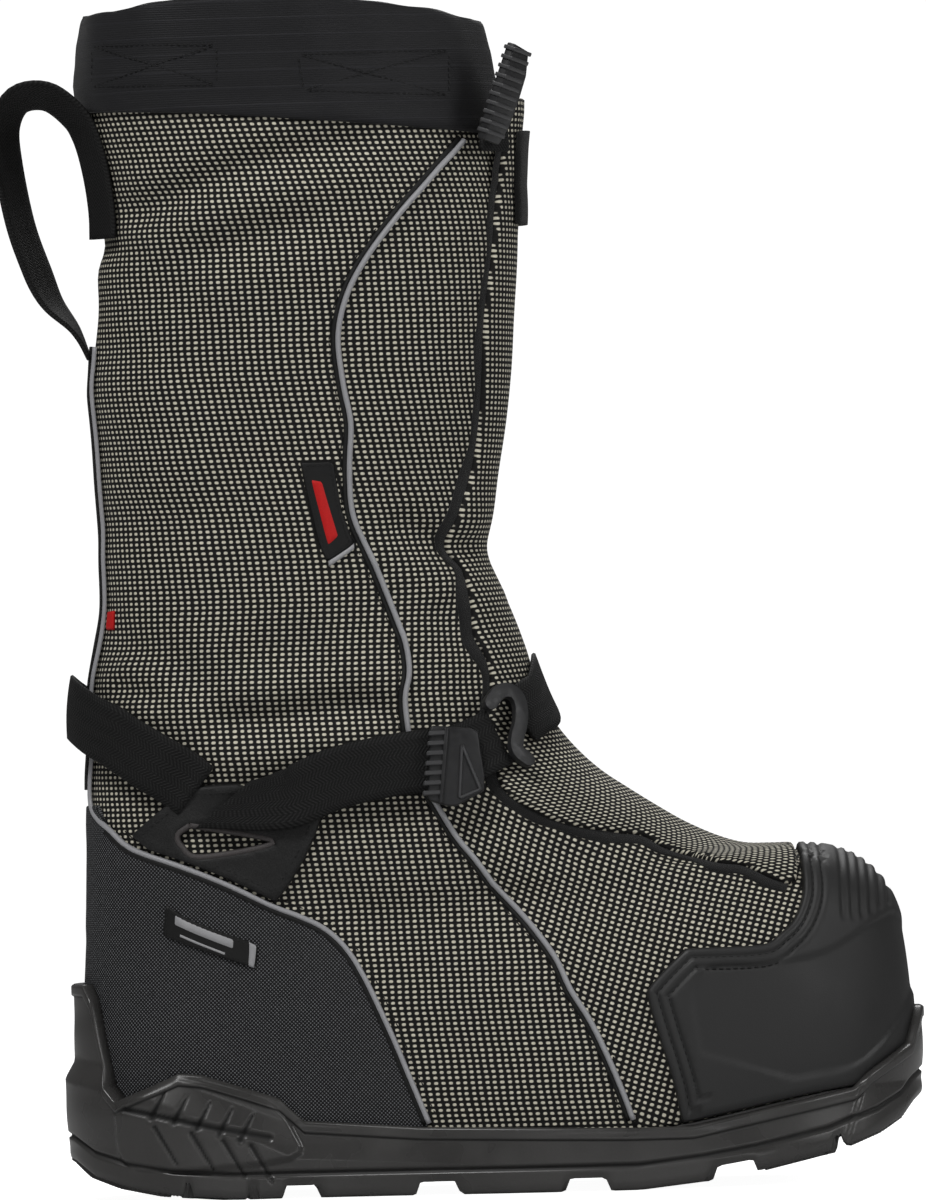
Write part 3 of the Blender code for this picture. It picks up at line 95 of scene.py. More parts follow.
# Lines on the side, as shares of SOLE_LENGTH from the heel and of UPPER_HEIGHT above the footbed
SOLE_EDGE = [
    (-0.010, 0.142), (0.017, 0.142), (0.025, 0.129), (0.044, 0.054), (0.056, 0.041),
    (0.122, 0.064), (0.149, 0.062), (0.242, 0.040), (0.272, 0.020), (0.415, 0.012),
    (0.663, 0.007), (0.740, 0.007), (0.930, 0.035), (0.945, 0.048), (0.986, 0.071),
    (0.998, 0.103), (1.020, 0.103),
]
COUNTER_LINE = [
    (0.426, 0.015), (0.404, 0.057), (0.385, 0.093), (0.355, 0.143), (0.333, 0.170),
    (0.309, 0.187), (0.281, 0.198), (0.252, 0.207), (0.199, 0.227), (0.146, 0.244),
    (0.091, 0.260), (0.064, 0.278), (0.051, 0.299),
]
SIDE_LINE = [
    (0.496, 0.870), (0.412, 0.800), (0.373, 0.761), (0.353, 0.730), (0.345, 0.698),
    (0.350, 0.658), (0.357, 0.626), (0.354, 0.588), (0.356, 0.548), (0.372, 0.516),
    (0.392, 0.478), (0.411, 0.437), (0.416, 0.408), (0.411, 0.383), (0.418, 0.340),
    (0.432, 0.310), (0.449, 0.286), (0.467, 0.263), (0.488, 0.243), (0.509, 0.221),
    (0.531, 0.202), (0.553, 0.182), (0.578, 0.155), (0.594, 0.128), (0.616, 0.100),
    (0.636, 0.067), (0.653, 0.034), (0.662, 0.014),
]
FLAP_LINE = [
    (0.529, 0.860), (0.529, 0.829), (0.524, 0.773), (0.514, 0.717), (0.506, 0.638),
    (0.492, 0.582), (0.473, 0.545), (0.463, 0.517), (0.477, 0.495), (0.487, 0.463),
    (0.494, 0.435), (0.509, 0.405), (0.509, 0.349), (0.517, 0.310), (0.535, 0.293),
    (0.568, 0.278), (0.604, 0.268), (0.651, 0.261), (0.682, 0.257), (0.705, 0.247),
    (0.735, 0.239), (0.772, 0.232), (0.799, 0.229), (0.829, 0.218), (0.850, 0.212),
]
CAP_LINE = [
    (0.720, 0.013), (0.697, 0.078), (0.683, 0.118), (0.687, 0.130), (0.725, 0.158),
    (0.735, 0.161), (0.815, 0.162), (0.838, 0.171), (0.854, 0.182), (0.865, 0.200),
    (0.867, 0.217), (0.864, 0.240),
]
CUFF_LINE = [
    (-0.050, 0.912), (0.038, 0.906), (0.189, 0.899), (0.341, 0.889), (0.527, 0.876), (0.700, 0.868),
]
TAB_TOP = [(0.090, 0.272), (0.156, 0.314), (0.214, 0.315), (0.312, 0.290), (0.308, 0.278), (0.258, 0.214)]
TAB_SLOT = [(0.158, 0.280), (0.144, 0.272), (0.148, 0.262), (0.170, 0.252), (0.254, 0.264)]
SIDE_LABEL = [(0.297, 0.593), (0.336, 0.593), (0.344, 0.550), (0.357, 0.521), (0.325, 0.506)]
HEEL_LABEL = [(0.128, 0.213), (0.233, 0.175), (0.229, 0.153), (0.124, 0.184)]
TAB_STRAP_LINE = [
    (0.229, 0.278), (0.277, 0.302), (0.329, 0.317), (0.397, 0.327), (0.466, 0.332), (0.512, 0.346),
]
HEEL_STRAP_LINE = [(0.196, 0.294), (0.134, 0.328), (0.071, 0.362)]
HEEL_STRAP_BACK = 0.383
FRONT_STRAP_LINE = [(0.534, 0.362), (0.560, 0.376)]
FRONT_STRAP_FRONT = 0.392
# Sole's outset: share along it, outset low, outset high, height where it starts to change, and where it ends
SOLE_FLARE = [
    (0.00, 10.5, 6.2, 50.0, 57.0),
    (0.08, 9.0, 5.4, 42.0, 52.0),
    (0.25, 6.8, 4.2, 16.0, 30.0),
    (0.50, 6.2, 3.8, 12.0, 24.0),
    (0.80, 6.2, 3.8, 12.0, 24.0),
    (0.93, 6.6, 4.2, 20.0, 36.0),
    (1.00, 7.0, 4.3, 36.0, 62.0),
]
SOLE_BOTTOM = [
    (-0.020, 19.0), (0.010, 16.0), (0.030, 9.8), (0.065, 5.3), (0.113, 2.0), (0.153, 0.9),
    (0.185, 0.0), (0.672, 0.0), (0.751, 2.8), (0.814, 6.2), (0.897, 12.4), (0.951, 19.5),
    (0.977, 25.0), (0.990, 31.0), (1.010, 37.0),
]
# Gaps between the lugs: share along the sole, width
SIDE_GAPS = [
    (0.129, 4.0), (0.206, 6.0), (0.270, 20.0), (0.434, 20.0), (0.610, 21.0), (0.783, 22.0), (0.906, 6.0),
]
MIDDLE_GAPS = [(0.170, 8.0), (0.351, 8.0), (0.540, 8.0), (0.700, 8.0), (0.843, 8.0)]
WING_OUTLINE = [
    (0.062, 0.028), (0.071, 0.040), (0.124, 0.058), (0.150, 0.056), (0.236, 0.036),
    (0.268, 0.010), (0.262, -0.012), (0.120, -0.020), (0.070, -0.010),
]
WING_GROOVE = [(0.074, 0.034), (0.120, 0.026), (0.170, 0.017), (0.240, 0.006)]
WING_SLITS_HIGH = [(0.120, 0.048), (0.146, 0.044), (0.172, 0.038), (0.198, 0.033), (0.222, 0.027)]
WING_SLITS_LOW = [(0.108, 0.018), (0.150, 0.012), (0.186, 0.005), (0.218, 0.000)]
BUMPER_EDGE = [(0.943, 0.075), (0.930, 0.035), (0.909, -0.010), (0.900, -0.030)]

# Soft folds of the cloth: side line, half width, depth, share of the fold that stands up beside it
FOLDS = [
    ([(0.076, 0.820), (0.119, 0.815), (0.160, 0.826), (0.211, 0.842), (0.271, 0.855), (0.356, 0.868),
      (0.420, 0.872)], 6.5, 3.6, 0.8),
    ([(0.055, 0.790), (0.083, 0.788), (0.140, 0.776)], 6.0, 2.0, 0.6),
    ([(0.161, 0.773), (0.214, 0.781), (0.278, 0.794), (0.345, 0.806)], 7.0, 2.2, 0.8),
    ([(0.066, 0.404), (0.100, 0.397), (0.136, 0.389)], 4.5, 2.2, 0.7),
    ([(0.055, 0.446), (0.110, 0.432), (0.165, 0.410), (0.205, 0.392)], 8.0, 2.2, 0.7),
    ([(0.170, 0.372), (0.217, 0.368), (0.258, 0.370), (0.322, 0.376), (0.365, 0.378), (0.416, 0.364)],
     6.5, 4.2, 0.9),
    ([(0.215, 0.425), (0.270, 0.432), (0.330, 0.430)], 9.0, 1.5, 0.6),
    ([(0.392, 0.548), (0.433, 0.525), (0.461, 0.517), (0.495, 0.508)], 7.0, 3.0, 0.7),
    ([(0.443, 0.470), (0.468, 0.445), (0.505, 0.430)], 7.0, 1.8, 0.6),
    ([(0.520, 0.285), (0.570, 0.252), (0.640, 0.230)], 6.0, 1.6, 0.8),
    ([(0.060, 0.700), (0.100, 0.690), (0.160, 0.700)], 9.0, 1.4, 0.6),
    ([(0.070, 0.560), (0.130, 0.545), (0.200, 0.552)], 10.0, 1.2, 0.6),
    ([(0.215, 0.735), (0.200, 0.660), (0.215, 0.590), (0.205, 0.520)], 10.0, 1.3, 0.5),
    ([(0.290, 0.235), (0.340, 0.200), (0.400, 0.180)], 9.0, 1.1, 0.6),
]
# The strap's pull on the cloth: half width, depth
STRAP_CINCH = (15.0, 1.6)

# Lifts of what lies on the upper
CAP_LIFT = 3.2
COUNTER_LIFT = 1.8
FLAP_LIFT = 3.2
TAB_LIFT = 2.6
STRAP_WIDTH = 25.0
STRAP_THICK = 1.8
PIPING_WIDTH = 3.4
FLAP_LEAN = [(0.0, 0.0), (0.790, 0.0), (0.830, 1.5), (0.876, 6.0), (0.906, 9.5), (1.2, 9.5)]
LEAN_FROM = 0.78 * math.pi
LEAN_FULL = 0.96 * math.pi
LEAN_EDGE = 0.35
FLAP_TOP = 0.905
STRAP_LIFT = 4.5
HEEL_STRAP_LIFT = 4.4
PLATE_LIFT = STRAP_LIFT + STRAP_THICK + 0.3
PILE_PROFILE = [(-2.9, 0.0), (-2.6, 0.5), (-1.0, 0.8), (1.0, 0.8), (2.6, 0.5), (2.9, 0.0)]
SLOT_RIM_PROFILE = [(-1.3, 0.0), (-0.9, 1.0), (0.0, 1.3), (0.9, 1.0), (1.3, 0.0)]
SEAM_SHADOW_PROFILE = [(-1.2, 0.0), (-0.8, 0.7), (0.8, 0.7), (1.2, 0.0)]

# Pull loop: its middle line, as distance behind the back and share of the height
LOOP_PATH = [
    (1.6, 0.690), (9.0, 0.716), (20.0, 0.742), (28.0, 0.776), (34.0, 0.812), (35.5, 0.862),
    (33.5, 0.896), (27.0, 0.918), (16.0, 0.920), (7.0, 0.902), (4.2, 0.886), (3.4, 0.866),
    (3.2, 0.840), (3.0, 0.815), (2.8, 0.794),
]
LOOP_TURN = math.radians(24.0)
LOOP_ASIDE = 19.0
LOOP_STEP = 2.2

# Toe cap: grooves inside its edge, sunk field on its side, grooves across its top
CAP_GROOVES = (4.2, 8.4)
CAP_INSETS = (0.4, 1.1, 2.8, 3.5, 4.2, 4.9, 5.6, 7.0, 7.7, 8.4, 9.1, 9.8)
CAP_GROOVE_PITCH = 3.7
CAP_FIELD = [
    (0.742, 0.070), (0.735, 0.126), (0.765, 0.147), (0.818, 0.145), (0.888, 0.154), (0.946, 0.178),
    (0.975, 0.180), (0.990, 0.120), (0.93, 0.06), (0.85, 0.045),
]

# Collar cuff: its rings from the low edge up, as share of the way and lift, and its stitched boxes
CUFF_COLUMNS = 240
CUFF_ROW = 34.0
CUFF_INNER = -WALL - 1.4
CUFF_RINGS = [
    (0.0, 0.2), (0.0, 1.3), (0.02, 2.1), (0.06, 2.4), (0.12, 2.0), (0.2, 2.2), (0.3, 2.5), (0.4, 2.3),
    (0.5, 2.1), (0.6, 2.3), (0.7, 2.5), (0.8, 2.4), (0.88, 2.5), (0.94, 2.5), (1.0, 2.3),
]
CUFF_BOXES = [
    [(0.074, 0.961), (0.215, 0.958), (0.214, 0.923), (0.073, 0.926)],
    [(0.308, 0.947), (0.478, 0.948), (0.477, 0.909), (0.313, 0.916)],
]

# Comb buckle, its strap and the fuzzy tab at the top
TOP_BUCKLE_FOOT = 0.873
TOP_BUCKLE_TURN = 0.852 * math.pi
TOP_BUCKLE_LEAN = math.radians(19.5)
TOP_BUCKLE_FACE = math.radians(27.0)
TOP_BUCKLE_SEAT = 1.0
TOP_LIFT = 3.6
TOP_TAB = (0.797, 0.876)

# Insole: its columns, gap to the wall, and rings as inward move and height
INSOLE_COLUMNS = 96
INSOLE_EASE = 0.9
INSOLE_RINGS = [(0.0, 0.0), (0.0, 2.2), (0.8, 3.0)]

# Plain patches on the labels: name, corners, look, lift, underside
SIDE_PATCHES = [
    ("side_label_red", [(0.309, 0.578), (0.322, 0.576), (0.339, 0.528), (0.327, 0.520)], "red", 1.15, 0.7),
    ("side_label_end", [(0.326, 0.5065), (0.357, 0.5215), (0.3575, 0.5165), (0.327, 0.501)], "silver",
     1.2, 0.2),
]
HEEL_PATCHES = [
    ("heel_label_end", [(0.2215, 0.1775), (0.231, 0.1738), (0.2275, 0.1540), (0.2200, 0.1560)], "silver",
     3.1, 2.6),
    ("heel_label_bar", [(0.139, 0.203), (0.205, 0.1795), (0.204, 0.171), (0.138, 0.1935)], "silver",
     3.05, 2.6),
    ("heel_label_line", [(0.143, 0.186), (0.196, 0.168), (0.1955, 0.165), (0.1425, 0.183)], "silver",
     3.05, 2.6),
]

# Cloth
DOT_PITCH = (3.03, 2.20)
DOT_SIZE = (1.72, 1.22)
VAMP_TURN = math.radians(25.0)
FLECK_PITCH = 1.55

# Camera and stage
PIXEL = 0.41
CAMERA_ROLL = math.radians(1.59)
CAMERA_AIM = (-6.2, 0.0, 241.2)
CAMERA_DISTANCE = 6000.0
IMAGE_HEIGHT = 1200
SENSOR = 36.0
WORLD_STRENGTH = 0.10
SHOWN_STRENGTH = 1.05
FLOOR_HALF = 8.0
FLOOR_DROP = 0.0002
FLOOR_GLOW = 0.97
# Area lights, in metres: name, place, aim, size, power
LIGHTS = [
    ("key_light", (-0.9, -1.5, 2.3), (0.0, 0.0, 0.2), (0.9, 0.7), 38.0),
    ("front_light", (0.4, -2.6, 0.35), (0.0, 0.0, 0.15), (2.2, 0.35), 5.0),
    ("fill_light", (1.7, -1.0, 1.1), (0.0, 0.0, 0.2), (0.8, 0.8), 11.0),
    ("back_light", (0.2, 1.6, 1.9), (0.0, 0.0, 0.25), (1.4, 0.8), 24.0),
]


def smooth(low, high, value):
    share = np.clip((np.asarray(value, dtype=float) - low) / (high - low), 0.0, 1.0)
    return share * share * (3.0 - 2.0 * share)


def along(share):
    return (np.asarray(share, dtype=float) - 0.5) * SOLE_LENGTH


def height(share):
    return FOOTBED + np.asarray(share, dtype=float) * UPPER_HEIGHT


def to_mm(line):
    return np.array([(float(along(x)), float(height(z))) for x, z in line])


def section_table():
    rows = []
    last = len(SECTIONS) - 1
    for index, section in enumerate(SECTIONS):
        _, back_x, back_z, front_x, front_z, curl, heel, ball, back_round, front_round = section
        blend = smooth(SHAFT_FROM, SHAFT_TO, index / last)
        half = 0.5 * (BALL_WIDTH + (SHAFT_WIDTH - BALL_WIDTH) * blend)
        rows.append((along(back_x), height(back_z), along(front_x), height(front_z), curl * UPPER_HEIGHT,
                     heel * half, ball * half, back_round, front_round))
    return np.array(rows, dtype=float)


TABLE = section_table()
LAST_ROW = len(TABLE) - 1


def sections_at(row):
    """Catmull-Rom values of the section table at rows that needn't be whole."""
    row = np.clip(np.asarray(row, dtype=float), 0.0, LAST_ROW)
    base = np.minimum(row.astype(int), LAST_ROW - 1)
    f = (row - base)[..., None]
    before = TABLE[np.maximum(base - 1, 0)]
    start = TABLE[base]
    end = TABLE[base + 1]
    after = TABLE[np.minimum(base + 2, LAST_ROW)]
    values = 0.5 * (2 * start + (end - before) * f + (2 * before - 5 * start + 4 * end - after) * f ** 2
                    + (3 * start - before - 3 * end + after) * f ** 3)
    return np.moveaxis(values, -1, 0)


def closure(share):
    return (1.0 - (1.0 - np.clip(share, 0.0, 1.0)) ** ROUNDNESS) ** (1.0 / ROUNDNESS)


def base_surface(turn, row):
    """Point of the upper's outer face. turn is 0 at the back, pi at the front, between them outside."""
    turn, row = np.broadcast_arrays(np.asarray(turn, dtype=float), np.asarray(row, dtype=float))
    back_x, back_z, front_x, front_z, curl, heel, ball, back_round, front_round = sections_at(row)
    t = 0.5 - 0.5 * np.cos(turn)
    side = -np.sign(np.sin(turn))
    x = back_x + (front_x - back_x) * t
    z = back_z + (front_z - curl - back_z) * t + curl * smooth(0.6, 1.0, t)
    z = z + RIM_CROWN * smooth(LAST_ROW - 4, LAST_ROW, row) * np.sin(math.pi * t)
    half = heel + (ball - heel) * smooth(0.2, 0.65, t)
    low = 1.0 - smooth(6.0, 15.0, row)
    waist = np.exp(-((t - 0.42) / 0.15) ** 2) * low
    half = half - waist * np.where(side > 0, WAIST_INNER, WAIST_OUTER)
    half = half * closure(t / back_round) * closure((1.0 - t) / front_round)
    swing = TOE_SWING * smooth(0.45, 1.0, t) * (1.0 - smooth(7.0, 20.0, row))
    return np.stack([x, side * half + swing, z], axis=-1)


def slopes(turn, row):
    step = 0.02
    around = (base_surface(turn + step, row) - base_surface(turn - step, row)) / (2 * step)
    above = np.minimum(row + step, LAST_ROW)
    below = np.maximum(row - step, 0.0)
    up = (base_surface(turn, above) - base_surface(turn, below)) / (above - below)[..., None]
    return around, up


def normals(turn, row):
    around, up = slopes(turn, row)
    normal = np.cross(around, up)
    return normal / np.linalg.norm(normal, axis=-1, keepdims=True)


def face(turn, row, lift=0.0, folds=1.0):
    """Point over the creased cloth of the upper, at a distance outside it."""
    turn, row = np.broadcast_arrays(np.asarray(turn, dtype=float), np.asarray(row, dtype=float))
    point = base_surface(turn, row)
    extra = relief(point) * folds
    return point + normals(turn, row) * (np.asarray(lift, dtype=float) + extra)[..., None]


def line_distance(x, z, line):
    """Distance to a side line, and on which side of it a place lies."""
    best = np.full(np.shape(x), 1e9)
    sign = np.zeros(np.shape(x))
    share = np.zeros(np.shape(x))
    count = len(line) - 1
    for k in range(count):
        ax, az = line[k]
        run_x, run_z = line[k + 1] - line[k]
        length = run_x ** 2 + run_z ** 2
        f = np.clip(((x - ax) * run_x + (z - az) * run_z) / length, 0.0, 1.0)
        off_x = x - ax - f * run_x
        off_z = z - az - f * run_z
        distance = np.hypot(off_x, off_z)
        nearer = distance < best
        best = np.where(nearer, distance, best)
        sign = np.where(nearer, np.sign(run_x * off_z - run_z * off_x), sign)
        share = np.where(nearer, (k + f) / count, share)
    return best, sign, share


def relief(point):
    """Folds, the strap's cinch and the soft unevenness of the stuffed cloth, in millimetres."""
    x, y, z = point[..., 0], point[..., 1], point[..., 2]
    total = np.zeros(np.shape(x))
    for line, half, depth, stand in FOLDS:
        distance, sign, share = line_distance(x, z, to_mm(line))
        ends = smooth(0.0, 0.18, share) * (1.0 - smooth(0.82, 1.0, share))
        signed = distance * sign
        inner = np.where(y > 0, 0.7, 1.0)
        valley = np.exp(-(signed / half) ** 2)
        crest = np.exp(-((signed + 2.1 * half) / (1.5 * half)) ** 2)
        crest = crest + 0.6 * np.exp(-((signed - 1.9 * half) / (1.3 * half)) ** 2)
        total += inner * ends * depth * (stand * crest - valley)
    half, depth = STRAP_CINCH
    strap = to_mm(HEEL_STRAP_LINE[::-1] + TAB_STRAP_LINE[1:] + FRONT_STRAP_LINE)
    distance, _, _ = line_distance(x, z, strap)
    total -= depth * np.exp(-(distance / half) ** 2)
    wave = np.sin(x / 23.0 + 1.3) * np.sin(z / 31.0 + y / 40.0) + 0.6 * np.sin(x / 11.0 - z / 17.0 + y / 25.0)
    above_sole = smooth(60.0, 130.0, z) * (1.0 - 0.6 * smooth(430.0, 470.0, z))
    toe = 1.0 - smooth(70.0, 110.0, x)
    return total + 0.45 * wave * above_sole * toe


def locate(line):
    """Turns and rows of the outer side's points that are seen at side places."""
    line = np.asarray(line, dtype=float)
    x, z = line[:, 0], line[:, 1]
    low = np.zeros(len(x))
    high = np.full(len(x), float(LAST_ROW))
    for _ in range(40):
        middle = 0.5 * (low + high)
        turn = turn_at(x, middle)
        under = base_surface(turn, middle)[:, 2] < z
        low = np.where(under, middle, low)
        high = np.where(under, high, middle)
    return turn_at(x, low), low


def row_of(turn, share):
    """Row of a height in shares at a turn."""
    return float(row_at(turn, float(height(share))))


def turn_at(x, row):
    values = sections_at(row)
    t = np.clip((x - values[0]) / (values[2] - values[0]), 0.0, 1.0)
    return np.arccos(1.0 - 2.0 * t)


FINE_ROWS = np.linspace(0.0, LAST_ROW, 8 * LAST_ROW + 1)


def row_at(turn, z):
    """Row of a height at a turn, for one or more heights."""
    return np.interp(z, base_surface(turn, FINE_ROWS)[:, 2], FINE_ROWS)


def catmull(line, parts):
    """Smooth line through points, with so many parts between each two."""
    points = np.asarray(line, dtype=float)
    padded = np.vstack([2 * points[:1] - points[1:2], points, 2 * points[-1:] - points[-2:-1]])
    fine = []
    for i in range(1, len(padded) - 2):
        p0, p1, p2, p3 = padded[i - 1:i + 3]
        for f in np.linspace(0.0, 1.0, parts, endpoint=False):
            fine.append(0.5 * (2 * p1 + (p2 - p0) * f + (2 * p0 - 5 * p1 + 4 * p2 - p3) * f ** 2
                               + (3 * p1 - p0 - 3 * p2 + p3) * f ** 3))
    fine.append(points[-1])
    return np.array(fine)


def evenly(line, spacing):
    """The line's points again, at an even spacing."""
    line = np.asarray(line, dtype=float)
    run = np.concatenate([[0.0], np.cumsum(np.linalg.norm(np.diff(line, axis=0), axis=1))])
    count = max(int(round(run[-1] / spacing)), 1)
    marks = np.linspace(0.0, run[-1], count + 1)
    return np.stack([np.interp(marks, run, line[:, k]) for k in range(line.shape[1])], axis=1)


def sideways(line, distance):
    """The line moved to its left."""
    line = np.asarray(line, dtype=float)
    run = np.gradient(line, axis=0)
    run /= np.linalg.norm(run, axis=1, keepdims=True)
    return line + np.stack([-run[:, 1], run[:, 0]], axis=1) * distance


# Lengths over the cloth, for its weave
ARC_TURNS = np.linspace(0.0, math.pi, 241)
ARC_ROWS = np.linspace(0.0, LAST_ROW, 2 * LAST_ROW + 1)
SPAN_X = np.linspace(-175.0, 175.0, 141)


def arc_table():
    points = base_surface(*np.meshgrid(ARC_TURNS, ARC_ROWS))
    step = np.hypot(np.diff(points[..., 0], axis=1), np.diff(points[..., 1], axis=1))
    return np.concatenate([np.zeros((len(ARC_ROWS), 1)), np.cumsum(step, axis=1)], axis=1)


def span_table():
    rows = []
    for x in SPAN_X:
        turn = turn_at(x, ARC_ROWS)
        points = base_surface(turn, ARC_ROWS)
        step = np.hypot(np.diff(points[:, 1]), np.diff(points[:, 2]))
        rows.append(np.concatenate([[0.0], np.cumsum(step)]))
    return np.array(rows)


ARC = arc_table()
SPAN = span_table()


def from_table(table, firsts, seconds, first, second):
    a = np.clip(np.interp(first, firsts, np.arange(len(firsts))), 0, len(firsts) - 1.001)
    b = np.clip(np.interp(second, seconds, np.arange(len(seconds))), 0, len(seconds) - 1.001)
    i, j = a.astype(int), b.astype(int)
    f, g = a - i, b - j
    low = table[i, j] * (1 - g) + table[i, j + 1] * g
    high = table[i + 1, j] * (1 - g) + table[i + 1, j + 1] * g
    return low * (1 - f) + high * f


def shaft_weave(turn, row, from_front=False):
    """Weave place on the shaft: length around it, and height."""
    turn = np.asarray(turn, dtype=float)
    inner = turn > math.pi
    folded = np.where(inner, 2 * math.pi - turn, np.abs(turn))
    arc = from_table(ARC, ARC_ROWS, ARC_TURNS, row, folded)
    if from_front:
        arc = arc - from_table(ARC, ARC_ROWS, ARC_TURNS, row, np.full(np.shape(folded), math.pi))
    sign = np.where(inner | (turn < 0), -1.0, 1.0)
    return np.stack([arc * sign, base_surface(turn, row)[..., 2]], axis=-1)


def vamp_weave(turn, row, angle=0.0):
    """Weave place on the vamp: length along the foot, and up its side and over."""
    x = base_surface(turn, row)[..., 0]
    up = from_table(SPAN, SPAN_X, ARC_ROWS, x, row)
    c, s = math.cos(angle), math.sin(angle)
    return np.stack([x * c - up * s, x * s + up * c], axis=-1)


def make_piece(name, points, faces, materials, node=None, weave=None, slots=None):
    """Mesh piece that rides on the boot, with its weave places for each corner."""
    mesh = bpy.data.meshes.new(name)
    mesh.from_pydata((np.asarray(points, dtype=float) * MM).tolist(), [], [tuple(f) for f in faces])
    if weave is not None:
        layer = mesh.uv_layers.new(name="weave")
        layer.data.foreach_set("uv", (np.asarray(weave, dtype=float) / WEAVE_UNIT).astype(np.float32).ravel())
    for material in materials:
        mesh.materials.append(material)
    if slots is not None:
        mesh.polygons.foreach_set("material_index", np.asarray(slots, dtype=np.int32))
    mesh.polygons.foreach_set("use_smooth", np.full(len(mesh.polygons), True))
    mesh.update()
    mesh.validate()
    obj = bpy.data.objects.new(name, mesh)
    bpy.context.scene.collection.objects.link(obj)
    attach(obj, "root")
    if node:
        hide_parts(*([node] if isinstance(node, str) else node))
    return obj


def grid_quads(rows, columns, ring=False, ring_rows=False, first=0):
    i = np.arange(rows if ring_rows else rows - 1)
    j = np.arange(columns if ring else columns - 1)
    i, j = np.meshgrid(i, j, indexing="ij")
    k = (j + 1) % columns
    l = (i + 1) % rows
    quads = np.stack([i * columns + j, i * columns + k, l * columns + k, l * columns + j], axis=-1)
    return quads.reshape(-1, 4) + first


def recalc(obj):
    work = bmesh.new()
    work.from_mesh(obj.data)
    bmesh.ops.recalc_face_normals(work, faces=work.faces)
    work.to_mesh(obj.data)
    work.free()
    return obj


def inside_polygon(points, polygon):
    x, y = points[:, 0:1], points[:, 1:2]
    ax, ay = polygon[:, 0], polygon[:, 1]
    bx, by = np.roll(ax, -1), np.roll(ay, -1)
    crosses = (ay > y) != (by > y)
    slope = np.where(by == ay, 1e-12, by - ay)
    hits = crosses & (x < (bx - ax) * (y - ay) / slope + ax)
    return hits.sum(axis=1) % 2 == 1


def edge_distance(points, loops):
    """Distance from points in space to closed loops."""
    best = np.full(len(points), 1e9)
    for loop in loops:
        start = loop
        run = np.roll(loop, -1, axis=0) - loop
        length = np.maximum((run ** 2).sum(axis=1), 1e-12)
        for low in range(0, len(points), 2000):
            part = points[low:low + 2000, None, :] - start[None]
            f = np.clip((part * run[None]).sum(axis=2) / length[None], 0.0, 1.0)
            off = part - f[..., None] * run[None]
            best[low:low + 2000] = np.minimum(best[low:low + 2000], np.sqrt((off ** 2).sum(axis=2)).min(axis=1))
    return best


def dense_loop(loop, spacing):
    """Closed loop of turns and rows, with points at an even spacing over the upper."""
    loop = np.vstack([loop, loop[:1]])
    fine = np.concatenate([loop[i] + (loop[i + 1] - loop[i]) * np.linspace(0, 1, 8, endpoint=False)[:, None]
                           for i in range(len(loop) - 1)] + [loop[-1:]])
    solid = base_surface(fine[:, 0], fine[:, 1])
    run = np.concatenate([[0.0], np.cumsum(np.linalg.norm(np.diff(solid, axis=0), axis=1))])
    count = max(int(round(run[-1] / spacing)), 8)
    marks = np.linspace(0.0, run[-1], count, endpoint=False)
    return np.stack([np.interp(marks, run, fine[:, 0]), np.interp(marks, run, fine[:, 1])], axis=1)


def inward_moves(loop):
    """Changes of turn and row that go 1 mm to the left of a loop's run, over the upper."""
    around, up = slopes(loop[:, 0], loop[:, 1])
    run = np.roll(loop, -1, axis=0) - np.roll(loop, 1, axis=0)
    solid_run = around * run[:, :1] + up * run[:, 1:]
    normal = np.cross(around, up)
    inward = np.cross(normal, solid_run)
    inward /= np.linalg.norm(inward, axis=1, keepdims=True)
    aa, bb, ab = (around ** 2).sum(1), (up ** 2).sum(1), (around * up).sum(1)
    det = aa * bb - ab ** 2
    pa, pb = (inward * around).sum(1), (inward * up).sum(1)
    return np.stack([(bb * pa - ab * pb) / det, (aa * pb - ab * pa) / det], axis=1)


